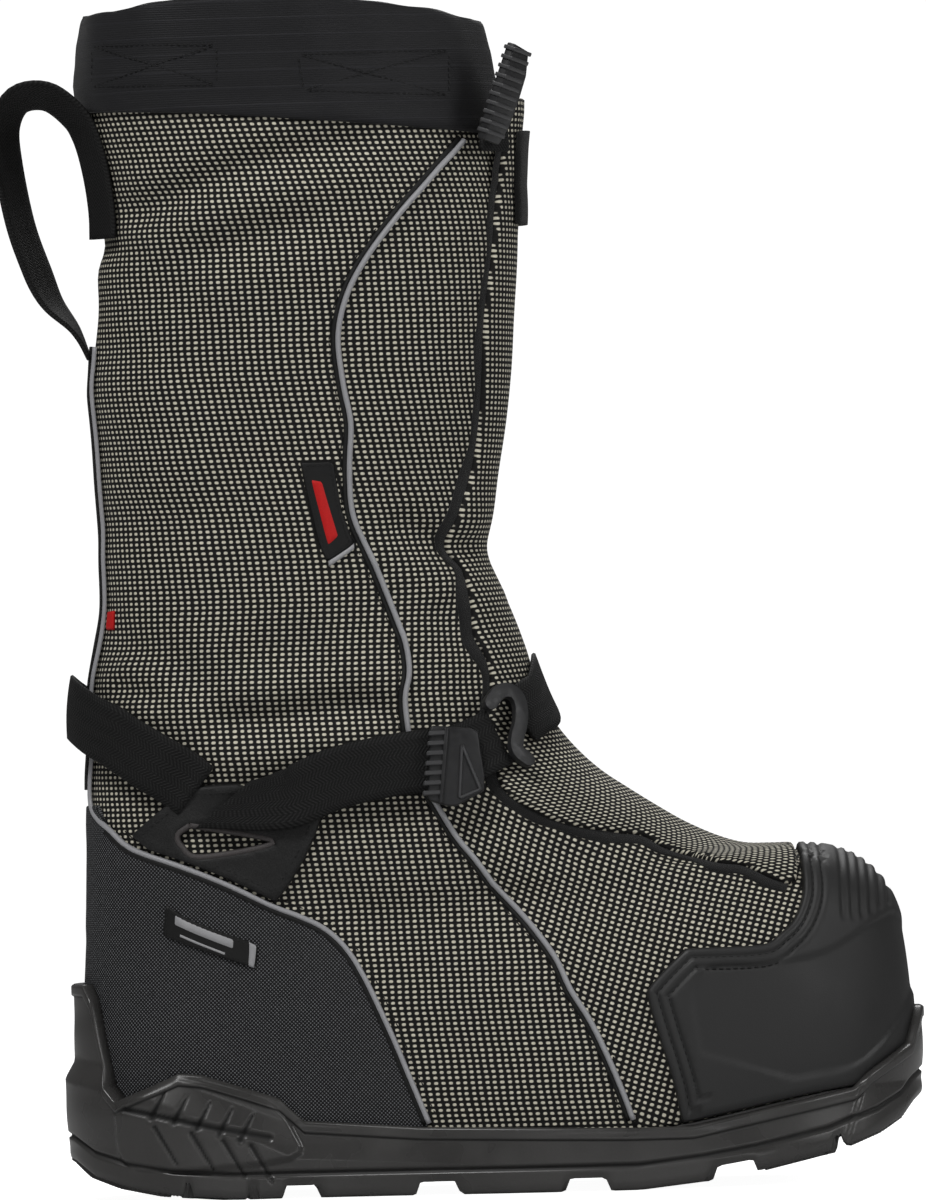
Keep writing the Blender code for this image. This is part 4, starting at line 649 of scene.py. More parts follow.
def panel(name, loop, lift, materials, node=None, edge=1.2, insets=(0.4, 1.0), spacing=3.0,
          outline_step=1.4, holes=(), shape=None, extra=None, weave=shaft_weave, under=0.15, folds=1.0):
    """Soft-edged layer over the upper, cut to a closed loop of turns and rows.

    shape gives a change of its lift from turn, row, place and the distance to its edge.
    """
    loops = [dense_loop(np.asarray(one, dtype=float), outline_step) for one in [loop, *holes]]
    solid_loops = [base_surface(one[:, 0], one[:, 1]) for one in loops]
    around, up = slopes(loops[0][:, 0].mean(), np.array(loops[0][:, 1].mean()))
    scale = np.array([max(np.linalg.norm(around), 30.0), max(np.linalg.norm(up), 6.0)])
    rings = []
    for one in loops:
        move = inward_moves(one)
        for inset in insets:
            for way in (1.0, -1.0):
                ring = one + move * inset * way
                gap = edge_distance(base_surface(ring[:, 0], ring[:, 1]), solid_loops)
                rings.append(ring[gap > 0.93 * inset])
    low, high = loops[0].min(axis=0), loops[0].max(axis=0)
    steps = spacing / scale
    columns = np.arange(low[0], high[0], steps[0])
    rows = np.arange(low[1], high[1], steps[1] * 0.87)
    lattice = np.array([(c + 0.5 * steps[0] * (k % 2), r) for k, r in enumerate(rows) for c in columns])
    inside = np.vstack(rings + [lattice])
    keep = inside_polygon(inside * scale, loops[0] * scale)
    for hole in loops[1:]:
        keep &= ~inside_polygon(inside * scale, hole * scale)
    inside = inside[keep]
    gap = edge_distance(base_surface(inside[:, 0], inside[:, 1]), solid_loops)
    ring_count = sum(len(r) for r in rings)
    from_ring = np.arange(len(keep))[keep] < ring_count
    good = from_ring | (gap > insets[-1] + 0.35 * spacing)
    inside = inside[good]
    places = np.vstack(loops + [inside])
    edges = []
    base = 0
    for one in loops:
        edges += [(base + k, base + (k + 1) % len(one)) for k in range(len(one))]
        base += len(one)
    flat_places = [Vector((float(a * scale[0]), float(b * scale[1]))) for a, b in places]
    out_places, _, faces, source, _, _ = delaunay_2d_cdt(flat_places, edges, [], 0, 1e-5, True)
    faces = np.array(faces)
    flat = np.array([(p.x, p.y) for p in out_places])
    places = flat / scale
    middle = flat[faces].mean(axis=1)
    wanted = inside_polygon(middle, loops[0] * scale)
    for hole in loops[1:]:
        wanted &= ~inside_polygon(middle, hole * scale)
    faces = faces[wanted]
    turn, row = places[:, 0], places[:, 1]
    solid = base_surface(turn, row)
    gap = edge_distance(solid, solid_loops)
    rise = np.sqrt(np.clip(1.0 - (1.0 - np.clip(gap / edge, 0.0, 1.0)) ** 2, 0.0, 1.0))
    top_lift = under + (lift - under) * rise
    if shape is not None:
        top_lift = top_lift + shape(turn, row, solid, gap) * rise
    bottom_lift = np.full(len(turn), under)
    if extra is not None:
        more = extra(turn, row)
        top_lift = top_lift + more
        bottom_lift = bottom_lift + more
    top = face(turn, row, top_lift, folds)
    bottom = face(turn, row, bottom_lift, folds)
    on_edge = gap < 1e-3
    number = np.arange(len(turn))
    below = np.where(on_edge, number, number + len(turn))
    points = np.vstack([top, bottom])
    all_faces = np.vstack([faces, below[faces][:, ::-1]])
    flat_below = (below[faces] == faces).all(axis=1)
    all_faces = all_faces[np.concatenate([np.full(len(faces), True), ~flat_below])]
    used = np.unique(all_faces)
    renumber = np.full(len(points), -1)
    renumber[used] = np.arange(len(used))
    values = np.vstack([weave(turn, row)] * 2)[used]
    all_faces = renumber[all_faces]
    return make_piece(name, points[used], all_faces, materials, node, values[all_faces.ravel()])


def past_back(places):
    """Places beyond the back's middle line, on the inner side."""
    return np.stack([-places[:, 0], places[:, 1]], axis=1)


def mirrored(places):
    places = np.asarray(places, dtype=float)
    return np.stack([2 * math.pi - places[:, 0], places[:, 1]], axis=1)


def side_places(line, side=-1):
    turn, row = locate(line)
    places = np.stack([turn, row], axis=1)
    return places if side < 0 else mirrored(places)


def walk(turn, row, direction, distance, steps=3):
    """Move over the surface along a direction, and give the new turn and row."""
    for _ in range(steps):
        around, up = slopes(np.array(turn), np.array(row))
        basis = np.stack([around, up], axis=1)
        move, *_ = np.linalg.lstsq(basis, direction * distance / steps, rcond=None)
        turn = turn + move[0]
        row = min(max(row + move[1], 0.0), float(LAST_ROW))
    return turn, row


def resample(path, spacing):
    """Even places on a smooth curve through the path's turns and rows."""
    fine = catmull(path, 12)
    solid = base_surface(fine[:, 0], fine[:, 1])
    run = np.concatenate([[0.0], np.cumsum(np.linalg.norm(np.diff(solid, axis=0), axis=1))])
    count = max(int(round(run[-1] / spacing)), 2)
    marks = np.linspace(0.0, run[-1], count + 1)
    return np.stack([np.interp(marks, run, fine[:, 0]), np.interp(marks, run, fine[:, 1])], axis=1), marks


def tube_faces(count, columns):
    """Faces of a row of rings, closed around and at both ends."""
    faces = [tuple(q) for q in grid_quads(count, columns, ring=True)]
    faces.append(tuple(range(columns))[::-1])
    faces.append(tuple((count - 1) * columns + k for k in range(columns)))
    return faces


def tube_weave(profile, marks, faces):
    """Weave places of a tube's corners: across its profile, and along it."""
    aside = np.array([a for a, _ in profile])
    values = np.stack([np.tile(aside, len(marks)), np.repeat(marks, len(profile))], axis=1)
    return values[np.concatenate([np.array(f) for f in faces])]


def ribbon(name, path, profile, materials, node=None, spacing=2.5, lift=0.0, folds=1.0, width=1.0,
           skew=0.0):
    """Band along a path of turns and rows. profile is a closed ring of places across it: aside, lift.

    lift and width may be functions of the share along the path. skew slants its first end.
    """
    places, marks = resample(path, spacing)
    middles = base_surface(places[:, 0], places[:, 1])
    runs = np.gradient(middles, axis=0)
    normal = normals(places[:, 0], places[:, 1])
    across = np.cross(normal, runs)
    across /= np.linalg.norm(across, axis=1, keepdims=True)
    count = len(places)
    asides = sorted({aside for aside, _ in profile})
    ring = np.zeros((count, len(profile), 3))
    for i in range(count):
        share = marks[i] / marks[-1]
        wide = width(share) if callable(width) else width
        high = lift(share) if callable(lift) else lift
        found = {}
        for aside in asides:
            mark = marks[i] + skew * aside * (1.0 - smooth(0.0, 40.0, marks[i]))
            turn, row = (float(np.interp(mark, marks, places[:, k])) for k in (0, 1))
            if mark < 0:
                turn, row = places[0] + (places[1] - places[0]) * mark / marks[1]
            found[aside] = walk(turn, row, across[i], aside * wide)
        turns = np.array([found[aside][0] for aside, _ in profile])
        rows = np.array([found[aside][1] for aside, _ in profile])
        ring[i] = face(turns, rows, np.array([up for _, up in profile]) + high, folds)
    faces = tube_faces(count, len(profile))
    corners = tube_weave(profile, marks, faces)
    piece = make_piece(name, ring.reshape(-1, 3), faces, materials, node, corners)
    return recalc(piece)


def strap_profile(half, thick, crown=0.25, round_edge=0.5):
    """Flat webbing with soft edges."""
    asides = np.linspace(-half + round_edge, half - round_edge, 9)
    top = [(float(a), thick + crown * (1.0 - (a / half) ** 2)) for a in asides]
    bottom = [(float(a), crown * (1.0 - (a / half) ** 2)) for a in asides[::-1]]
    return [(-half, 0.55 * thick)] + top + [(half, 0.55 * thick)] + bottom


def cord_profile(half, high, base=0.2, parts=8):
    """Half-round piping with flat seam edges."""
    ring = []
    for k in range(parts + 1):
        angle = math.pi * (1.0 - k / parts)
        ring.append((half * math.cos(angle), base + high * math.sin(angle)))
    ring.append((0.0, base - 0.3))
    return ring


# Materials
class Nodes:
    """Short ways to build a material's nodes."""

    def __init__(self, name, roughness, colour=(0.02, 0.02, 0.02), metallic=0.0, specular=0.3):
        self.material = bpy.data.materials.new(name)
        self.material.use_nodes = True
        self.tree = self.material.node_tree
        self.shader = self.tree.nodes["Principled BSDF"]
        self.shader.inputs["Roughness"].default_value = roughness
        self.shader.inputs["Metallic"].default_value = metallic
        self.shader.inputs["Specular IOR Level"].default_value = specular
        self.shader.inputs["Base Color"].default_value = (*colour, 1.0)

    def link(self, source, target):
        self.tree.links.new(source, target)

    def math(self, operation, *values, clamp=False):
        node = self.tree.nodes.new("ShaderNodeMath")
        node.operation = operation
        node.use_clamp = clamp
        for socket, value in zip(node.inputs, values):
            if isinstance(value, (int, float)):
                socket.default_value = value
            else:
                self.link(value, socket)
        return node.outputs[0]

    def weave(self):
        """Weave places in millimetres, as two numbers."""
        node = self.tree.nodes.new("ShaderNodeUVMap")
        node.uv_map = "weave"
        split = self.tree.nodes.new("ShaderNodeSeparateXYZ")
        self.link(node.outputs[0], split.inputs[0])
        return [self.math("MULTIPLY", split.outputs[k], WEAVE_UNIT) for k in (0, 1)]

    def place(self, scale=1000.0):
        """The object's own places in millimetres."""
        node = self.tree.nodes.new("ShaderNodeTexCoord")
        mapping = self.tree.nodes.new("ShaderNodeMapping")
        mapping.inputs["Scale"].default_value = (scale, scale, scale)
        self.link(node.outputs["Object"], mapping.inputs["Vector"])
        return mapping.outputs[0]

    def noise(self, vector, scale, detail=2.0, roughness=0.5):
        node = self.tree.nodes.new("ShaderNodeTexNoise")
        node.inputs["Scale"].default_value = scale
        node.inputs["Detail"].default_value = detail
        node.inputs["Roughness"].default_value = roughness
        self.link(vector, node.inputs["Vector"])
        return node.outputs["Fac"]

    def cells(self, vector, scale):
        node = self.tree.nodes.new("ShaderNodeTexVoronoi")
        node.inputs["Scale"].default_value = scale
        self.link(vector, node.inputs["Vector"])
        return node.outputs["Distance"]

    def step(self, value, low, high, to_low=0.0, to_high=1.0):
        node = self.tree.nodes.new("ShaderNodeMapRange")
        node.interpolation_type = "SMOOTHSTEP"
        for key, number in (("From Min", low), ("From Max", high), ("To Min", to_low), ("To Max", to_high)):
            node.inputs[key].default_value = number
        self.link(value, node.inputs["Value"])
        return node.outputs["Result"]

    def mix(self, share, first, second):
        node = self.tree.nodes.new("ShaderNodeMix")
        node.data_type = "RGBA"
        for socket, value in ((node.inputs[0], share), (node.inputs[6], first), (node.inputs[7], second)):
            if isinstance(value, tuple):
                socket.default_value = (*value, 1.0)
            elif isinstance(value, (int, float)):
                socket.default_value = value
            else:
                self.link(value, socket)
        return node.outputs[2]

    def colour(self, socket):
        self.link(socket, self.shader.inputs["Base Color"])

    def rough(self, socket):
        self.link(socket, self.shader.inputs["Roughness"])

    def bump(self, height_socket, distance, strength=1.0):
        """Bump of a height from 0 to 1 that stands for a distance in millimetres."""
        node = self.tree.nodes.new("ShaderNodeBump")
        node.inputs["Strength"].default_value = strength
        node.inputs["Distance"].default_value = distance * MM
        self.link(height_socket, node.inputs["Height"])
        self.link(node.outputs[0], self.shader.inputs["Normal"])

    def sheen(self, weight, roughness=0.5):
        self.shader.inputs["Sheen Weight"].default_value = weight
        self.shader.inputs["Sheen Roughness"].default_value = roughness


def dots(n, u, v, pitch, size, shear=0.0, stagger=0.0):
    """Height of one float in each cell of a lattice, from 0 between them to 1 at its middle."""
    rows = n.math("DIVIDE", v, pitch[1])
    row = n.math("FLOOR", rows)
    shift = n.math("MULTIPLY", row, shear + stagger)
    columns = n.math("ADD", n.math("DIVIDE", u, pitch[0]), shift)
    a = n.math("ABSOLUTE", n.math("SUBTRACT", n.math("FRACT", columns), 0.5))
    b = n.math("ABSOLUTE", n.math("SUBTRACT", n.math("FRACT", rows), 0.5))
    a = n.math("POWER", n.math("MULTIPLY", a, 2.0 * pitch[0] / size[0]), 2.6)
    b = n.math("POWER", n.math("MULTIPLY", b, 2.0 * pitch[1] / size[1]), 2.6)
    return n.step(n.math("ADD", a, b), 1.45, 0.35), rows, columns


def dotted_cloth():
    n = Nodes("dotted_cloth_look", 0.8)
    u, v = n.weave()
    place = n.place()
    wobble = n.math("MULTIPLY", n.math("SUBTRACT", n.noise(place, 0.16, 1.0), 0.5), 1.0)
    u = n.math("ADD", u, wobble)
    dot, rows, columns = dots(n, u, v, DOT_PITCH, DOT_SIZE, shear=0.1)
    yarn_a = n.math("ABSOLUTE", n.math("SINE", n.math("MULTIPLY", columns, 2.0 * math.pi)))
    yarn_b = n.math("ABSOLUTE", n.math("SINE", n.math("MULTIPLY", rows, 2.0 * math.pi)))
    yarn = n.math("MULTIPLY", n.math("ADD", yarn_a, yarn_b), 0.5)
    tint = n.noise(place, 0.9, 2.0)
    cream = n.mix(tint, (0.50, 0.47, 0.38), (0.86, 0.82, 0.68))
    ground = n.mix(yarn, (0.003, 0.003, 0.003), (0.009, 0.0085, 0.008))
    n.colour(n.mix(dot, ground, cream))
    n.rough(n.step(dot, 0.0, 1.0, 0.85, 0.62))
    n.bump(n.math("ADD", n.math("MULTIPLY", dot, 0.8), n.math("MULTIPLY", yarn, 0.3)), 0.35, 0.9)
    return n.material


def charcoal_cloth():
    n = Nodes("charcoal_cloth_look", 0.75)
    u, v = n.weave()
    fleck, _, _ = dots(n, u, v, (FLECK_PITCH, 0.5 * FLECK_PITCH), (0.62, 0.62), stagger=0.5)
    tint = n.noise(n.place(), 1.2, 2.0)
    grey = n.mix(tint, (0.08, 0.083, 0.088), (0.22, 0.225, 0.235))
    n.colour(n.mix(fleck, (0.0035, 0.0035, 0.0042), grey))
    n.bump(fleck, 0.2, 0.8)
    return n.material


def black_nylon():
    n = Nodes("black_nylon_look", 0.55)
    u, v = n.weave()
    twill = n.math("SINE", n.math("MULTIPLY", n.math("ADD", u, v), 2.0 * math.pi / 0.9))
    cross = n.math("SINE", n.math("MULTIPLY", u, 2.0 * math.pi / 0.9))
    grain = n.math("MULTIPLY_ADD", n.math("MULTIPLY", twill, cross), 0.5, 0.5)
    rip_place = n.math("SUBTRACT", n.math("FRACT", n.math("DIVIDE", v, 7.0)), 0.5)
    rip = n.step(n.math("ABSOLUTE", rip_place), 0.03, 0.06, 1.0, 0.0)
    lit = n.math("ADD", n.math("MULTIPLY", grain, 0.75), n.math("MULTIPLY", rip, 0.5), clamp=True)
    n.colour(n.mix(lit, (0.0018, 0.0018, 0.0024), (0.013, 0.013, 0.016)))
    n.bump(lit, 0.16, 0.8)
    n.sheen(0.08)
    return n.material


def lining():
    n = Nodes("lining_look", 0.85)
    u, v = n.weave()
    across = n.math("SINE", n.math("MULTIPLY", u, 4.0))
    upward = n.math("SINE", n.math("MULTIPLY", v, 4.0))
    grain = n.math("MULTIPLY", across, upward)
    n.colour(n.mix(n.math("MULTIPLY_ADD", grain, 0.5, 0.5), (0.012, 0.012, 0.013), (0.03, 0.03, 0.032)))
    n.bump(grain, 0.15, 0.5)
    n.sheen(0.1)
    return n.material


def rubber(name, dark, light, roughness, grain_scale, grain_depth, wear=0.3, painted_cavity_shade=False):
    n = Nodes(name, roughness, specular=0.5)
    place = n.place()
    grain = n.noise(place, grain_scale, 3.0, 0.6)
    cloud = n.noise(place, 0.035, 3.0)
    lit = n.math("ADD", n.math("MULTIPLY", cloud, 0.7), n.math("MULTIPLY", grain, wear), clamp=True)
    shade = n.mix(lit, dark, light)
    gloss = n.step(cloud, 0.3, 0.7, roughness - 0.06, roughness + 0.08)
    if painted_cavity_shade:
        # Painted shade: where the cavity attribute is 1, the colour goes to near black and the rubber gets
        # rougher, in the sole's slits and grooves.
        node = n.tree.nodes.new("ShaderNodeAttribute")
        node.attribute_name = "painted_cavity_shade"
        shade = n.mix(node.outputs["Fac"], shade, (0.001, 0.001, 0.001))
        gloss = n.math("MULTIPLY_ADD", node.outputs["Fac"], 0.5, gloss, clamp=True)
    n.colour(shade)
    n.rough(gloss)
    n.bump(grain, grain_depth, 0.6)
    return n.material


def webbing():
    """Herringbone webbing: the ribs change their slant from band to band across it."""
    n = Nodes("webbing_look", 0.7)
    u, v = n.weave()
    band = n.math("PINGPONG", n.math("DIVIDE", u, 3.2), 1.0)
    slant = n.math("ADD", n.math("DIVIDE", v, 1.5), n.math("MULTIPLY", band, 1.6))
    rib = n.math("PINGPONG", n.math("MULTIPLY", slant, 2.0), 1.0)
    cross = n.math("PINGPONG", n.math("DIVIDE", u, 0.55), 1.0)
    lit = n.math("MULTIPLY", rib, n.math("MULTIPLY_ADD", cross, 0.5, 0.5))
    n.colour(n.mix(lit, (0.002, 0.002, 0.002), (0.012, 0.012, 0.012)))
    n.rough(n.step(lit, 0.0, 1.0, 0.85, 0.6))
    n.bump(lit, 0.3, 0.9)
    return n.material


def piping_look():
    n = Nodes("reflective_piping_look", 0.38, (0.42, 0.42, 0.43))
    grain = n.noise(n.place(), 3.0, 2.0)
    n.colour(n.mix(grain, (0.24, 0.24, 0.25), (0.44, 0.44, 0.46)))
    n.bump(grain, 0.05, 0.5)
    return n.material


def plastic_look():
    n = Nodes("hard_plastic_look", 0.42)
    cloud = n.noise(n.place(), 0.4, 3.0)
    n.colour(n.mix(cloud, (0.012, 0.012, 0.013), (0.03, 0.03, 0.031)))
    n.rough(n.step(cloud, 0.3, 0.7, 0.36, 0.5))
    n.bump(n.noise(n.place(), 4.0, 2.0), 0.03, 0.5)
    return n.material


def coated_look(name="coated_fabric_look", dark=(0.006, 0.006, 0.006), light=(0.02, 0.02, 0.02)):
    n = Nodes(name, 0.6)
    grain = n.cells(n.place(), 1.6)
    n.colour(n.mix(grain, dark, light))
    n.bump(grain, 0.12, 0.8)
    return n.material


def pile_look():
    n = Nodes("hook_pile_look", 0.95)
    fuzz = n.noise(n.place(), 2.6, 4.0, 0.8)
    # Near black: on the flap's edge strips this is the pile and also painted shade in the gap under the flap.
    n.colour(n.mix(fuzz, (0.002, 0.002, 0.002), (0.012, 0.012, 0.012)))
    n.bump(fuzz, 0.8, 1.0)
    n.sheen(0.15)
    return n.material


def plain_look(name, colour, roughness, depth=0.08, scale=2.5):
    n = Nodes(name, roughness, colour)
    weave = n.noise(n.place(), scale, 2.0)
    dark = tuple(0.8 * c for c in colour)
    light = tuple(min(1.2 * c, 1.0) for c in colour)
    n.colour(n.mix(weave, dark, light))
    n.bump(weave, depth, 0.7)
    return n.material


def stage_look(name, colour, glow):
    """Pale floor with a glow of its own that keeps its shadow faint."""
    n = Nodes(name, 0.9, colour)
    n.shader.inputs["Specular IOR Level"].default_value = 0.0
    n.shader.inputs["Emission Color"].default_value = (1.0, 1.0, 1.0, 1.0)
    path = n.tree.nodes.new("ShaderNodeLightPath")
    n.link(n.math("MULTIPLY", path.outputs["Is Camera Ray"], glow), n.shader.inputs["Emission Strength"])
    return n.material


LOOKS = {
    "cloth": dotted_cloth(),
    "charcoal": charcoal_cloth(),
    "nylon": black_nylon(),
    "lining": lining(),
    "cap": rubber("cap_rubber_look", (0.008, 0.008, 0.008), (0.021, 0.021, 0.021), 0.55, 1.6, 0.08),
    "sole": rubber("sole_rubber_look", (0.020, 0.0195, 0.019), (0.066, 0.064, 0.062), 0.3, 1.1, 0.04,
                   painted_cavity_shade=True),
    "webbing": webbing(),
    "piping": piping_look(),
    "plastic": plastic_look(),
    # Lighter copy of the buckle plastic: painted highlight on ribs and raised lines.
    "plastic_edge_highlight": plain_look("rib_plastic_highlight_look", (0.055, 0.055, 0.057), 0.4, 0.03),
    "coated": coated_look(),
    "slot_rim": coated_look("slot_rim_look", (0.045, 0.040, 0.040), (0.075, 0.068, 0.068)),
    "pile": pile_look(),
    "label": plain_look("label_black_look", (0.006, 0.006, 0.006), 0.5),
    "silver": plain_look("label_silver_look", (0.35, 0.35, 0.36), 0.4),
    "red": plain_look("tag_red_look", (0.55, 0.008, 0.008), 0.6),
    "felt": plain_look("insole_felt_look", (0.03, 0.03, 0.031), 0.9, 0.4, 1.2),
    "thread": plain_look("thread_look", (0.008, 0.008, 0.008), 0.6, 0.1, 4.0),
}


# Upper
UPPER_COLUMNS = 224
UPPER_ROWS = 6
LINING_ROWS = 2


def forward_of_piping(x, z):
    line = to_mm(SIDE_LINE)
    order = np.argsort(line[:, 1])
    return x > np.interp(z, line[order, 1], line[order, 0])


def below_strap(x, z):
    line = to_mm([(-0.2, 0.33)] + TAB_STRAP_LINE[3:] + FRONT_STRAP_LINE + [(0.7, 0.40)])
    return z < np.interp(x, line[:, 0], line[:, 1])


def build_upper():
    """The creased cloth, its inner lining, and the wall's edge at the collar and underneath."""
    turns = np.arange(UPPER_COLUMNS) * (2.0 * math.pi / UPPER_COLUMNS)
    rows = np.linspace(0.0, LAST_ROW - 0.05, UPPER_ROWS * LAST_ROW + 1)
    inner_rows = np.linspace(0.0, LAST_ROW - 0.05, LINING_ROWS * LAST_ROW + 1)
    outer = face(*np.meshgrid(turns, rows))
    inner = face(*np.meshgrid(turns, inner_rows), -WALL, 0.6)
    points = np.vstack([outer.reshape(-1, 3), inner.reshape(-1, 3)])
    shift = outer.shape[0] * UPPER_COLUMNS
    out_faces = grid_quads(len(rows), UPPER_COLUMNS, ring=True)
    in_faces = grid_quads(len(inner_rows), UPPER_COLUMNS, ring=True, first=shift)[:, ::-1]
    j = np.arange(UPPER_COLUMNS)
    k = (j + 1) % UPPER_COLUMNS
    low = np.stack([j, shift + j, shift + k, k], axis=1)
    top = (len(rows) - 1) * UPPER_COLUMNS
    in_top = shift + (len(inner_rows) - 1) * UPPER_COLUMNS
    high = np.stack([top + j, top + k, in_top + k, in_top + j], axis=1)
    faces = np.vstack([out_faces, in_faces, low, high])
    cell_columns = np.tile(np.stack([j, j + 1, j + 1, j], axis=1), (len(rows) - 1, 1))
    cell_turn = cell_columns * (2 * math.pi / UPPER_COLUMNS)
    i = np.repeat(np.arange(len(rows) - 1), UPPER_COLUMNS)
    cell_row = rows[np.stack([i, i, i + 1, i + 1], axis=1)]
    middle = outer.reshape(-1, 3)[out_faces].mean(axis=1)
    inner_side = cell_turn.mean(axis=1) > math.pi
    shown_turn = np.where(inner_side[:, None], cell_turn - 1e-9, np.minimum(cell_turn, math.pi))
    folded = np.where(inner_side[:, None], 2 * math.pi - cell_turn, cell_turn)
    arc = from_table(ARC, ARC_ROWS, ARC_TURNS, cell_row, folded) * np.where(inner_side, -1.0, 1.0)[:, None]
    shaft = np.stack([arc, base_surface(cell_turn, cell_row)[..., 2]], axis=-1)
    vamp = vamp_weave(shown_turn, cell_row, VAMP_TURN)
    front = forward_of_piping(middle[:, 0], middle[:, 2]) & below_strap(middle[:, 0], middle[:, 2])
    weave = np.where(front[:, None, None], vamp, shaft).reshape(-1, 2)
    rest = points[faces[len(out_faces):]].reshape(-1, 3)
    weave = np.vstack([weave, rest[:, [0, 2]]])
    slots = np.concatenate([np.zeros(len(out_faces)), np.ones(len(faces) - len(out_faces))])
    make_piece("upper_cloth", points, faces, [LOOKS["cloth"], LOOKS["lining"]], "upper",
               weave, slots)


# Sole
SOLE_COLUMNS = 720
LEVELS_LOW = [0.0, 0.4, 0.9, 1.6, 2.6, 3.8, 4.8, 5.5, 6.5, 7.6, 8.4, 8.9, 9.4, 10.0, 10.6, 11.2, 11.8, 12.4]
LEVELS_HIGH = [6.2, 5.6, 5.1, 4.7, 4.3, 3.6, 2.6, 1.6, 0.9, 0.4, 0.0]
LEVELS_MIDDLE = 30
TREAD_DEPTH = 5.5
TREAD_SLOPE = 3.0
CHANNEL_OFFSET = 22.0
CHANNEL_DEPTH = 4.0
CHANNEL_WIDTH = 6.0
WING_RAISE = 1.7
SERRATED = (-128.0, 138.0)
SERRATION = 0.7
SOLE_CROSS = 72
SEAT_GAP = 0.5
SEAT_LEVELS = (1.0, 0.66, 0.33, 0.0)
SOLE_GROOVE = 10.2
CHANNEL_SLOPE = 1.5
CHANNEL_END = 6


def sole_top(x):
    line = to_mm(SOLE_EDGE)
    return np.interp(x, line[:, 0], line[:, 1])


def sole_bottom(x):
    xs = along([a for a, _ in SOLE_BOTTOM])
    return np.interp(x, xs, [b for _, b in SOLE_BOTTOM])


def sole_outset(t, z):
    shares = [row[0] for row in SOLE_FLARE]
    low, high, start, end = (np.interp(t, shares, [row[k] for row in SOLE_FLARE]) for k in (1, 2, 3, 4))
    return low + (high - low) * np.clip((z - start) / (end - start), 0.0, 1.0)


def tread_gap(x, gaps, slope):
    """1 inside a gap between lugs and 0 on a lug, with slanted sides."""
    total = np.zeros(np.shape(x))
    for share, width in gaps:
        far = np.abs(x - along(share))
        total = np.maximum(total, 1.0 - smooth(0.5 * width - slope * min(width / 12.0, 1.0), 0.5 * width, far))
    return total


def wing_slits():
    """Lines of the heel wing's slits, above and below its groove."""
    high = [to_mm([(x, z), (x - 0.016, z - 0.022)]) for x, z in WING_SLITS_HIGH]
    low = [to_mm([(x, z), (x + 0.024, z - 0.032)]) for x, z in WING_SLITS_LOW]
    return high, low


def wing_relief(x, z):
    """Raised heel wing with its long groove and the slits above and below it."""
    outline = catmull(to_mm(WING_OUTLINE + WING_OUTLINE[:1]), 4)
    shape = np.shape(x)
    places = np.stack([np.ravel(x), np.ravel(z)], axis=1)
    inside = inside_polygon(places, outline[:-1]).reshape(shape)
    distance, _, _ = line_distance(x, z, outline)
    signed = np.where(inside, distance, -distance)
    raised = WING_RAISE * smooth(-1.2, 0.8, signed)
    groove, _, _ = line_distance(x, z, to_mm(WING_GROOVE))
    raised -= 1.1 * np.exp(-(groove / 1.3) ** 4) * smooth(0.0, 2.0, signed)
    high, low = wing_slits()
    for slit in high:
        off, _, share = line_distance(x, z, slit)
        raised -= 0.9 * np.exp(-(off / (0.35 + 1.05 * share)) ** 4) * smooth(0.5, 2.0, signed)
    for slit in low:
        off, _, share = line_distance(x, z, slit)
        raised -= 0.9 * np.exp(-(off / (1.0 - 0.5 * share)) ** 4)
    return raised


def wing_painted_cavity_shade(x, z):
    """Painted shade for the wing's groove and slits: 1 in them, 0 elsewhere."""
    groove, _, _ = line_distance(x, z, to_mm(WING_GROOVE))
    total = np.exp(-(groove / 1.25) ** 4)
    high, low = wing_slits()
    for slit in high:
        off, _, share = line_distance(x, z, slit)
        total = np.maximum(total, np.exp(-(off / (0.3 + 1.0 * share)) ** 4))
    for slit in low:
        off, _, share = line_distance(x, z, slit)
        total = np.maximum(total, 0.9 * np.exp(-(off / (0.95 - 0.5 * share)) ** 4))
    return total


def bumper_relief(x, z):
    """Step of the toe bumper, forward of a slanting edge."""
    line = to_mm(BUMPER_EDGE)
    order = np.argsort(line[:, 1])
    edge = np.interp(z, line[order, 1], line[order, 0])
    return 1.6 * smooth(-0.8, 0.8, x - edge)


def tread_height(x, y):
    """How far the tread lies above the lugs' faces, in the gaps and the two long channels."""
    beyond = smooth(CHANNEL_OFFSET - 1, CHANNEL_OFFSET + 1, np.abs(y))
    outside = tread_gap(x, SIDE_GAPS, TREAD_SLOPE) * beyond
    inside = tread_gap(x, MIDDLE_GAPS + SIDE_GAPS, TREAD_SLOPE) * (1 - beyond)
    off = np.abs(np.abs(y) - CHANNEL_OFFSET)
    channel = 1.0 - smooth(0.5 * CHANNEL_WIDTH - CHANNEL_SLOPE, 0.5 * CHANNEL_WIDTH, off)
    first, last = along(SIDE_GAPS[0][0]), along(SIDE_GAPS[-1][0])
    ends = smooth(first, first + CHANNEL_END, x) * (1 - smooth(last - CHANNEL_END, last, x))
    return np.maximum(TREAD_DEPTH * np.maximum(outside, inside), CHANNEL_DEPTH * channel * ends)


def sole_turns():
    """Turns of the sole's columns, close together beside the heel wings."""
    fine = np.linspace(0.0, math.pi, 4001)
    x = base_surface(fine, np.zeros(len(fine)))[:, 0]
    y = base_surface(fine, np.zeros(len(fine)))[:, 1]
    step = np.hypot(np.diff(x), np.diff(y))
    middle = 0.5 * (x[1:] + x[:-1])
    heel = 1 - smooth(along(0.27), along(0.30), middle)
    toe = smooth(along(0.86), along(0.90), middle)
    dense = 1.0 + 1.6 * heel + toe
    run = np.concatenate([[0.0], np.cumsum(step * dense)])
    half_turns = np.interp(np.linspace(0.0, run[-1], SOLE_COLUMNS // 2 + 1), run, fine)
    return np.concatenate([half_turns, (2 * math.pi - half_turns[1:-1])[::-1]])


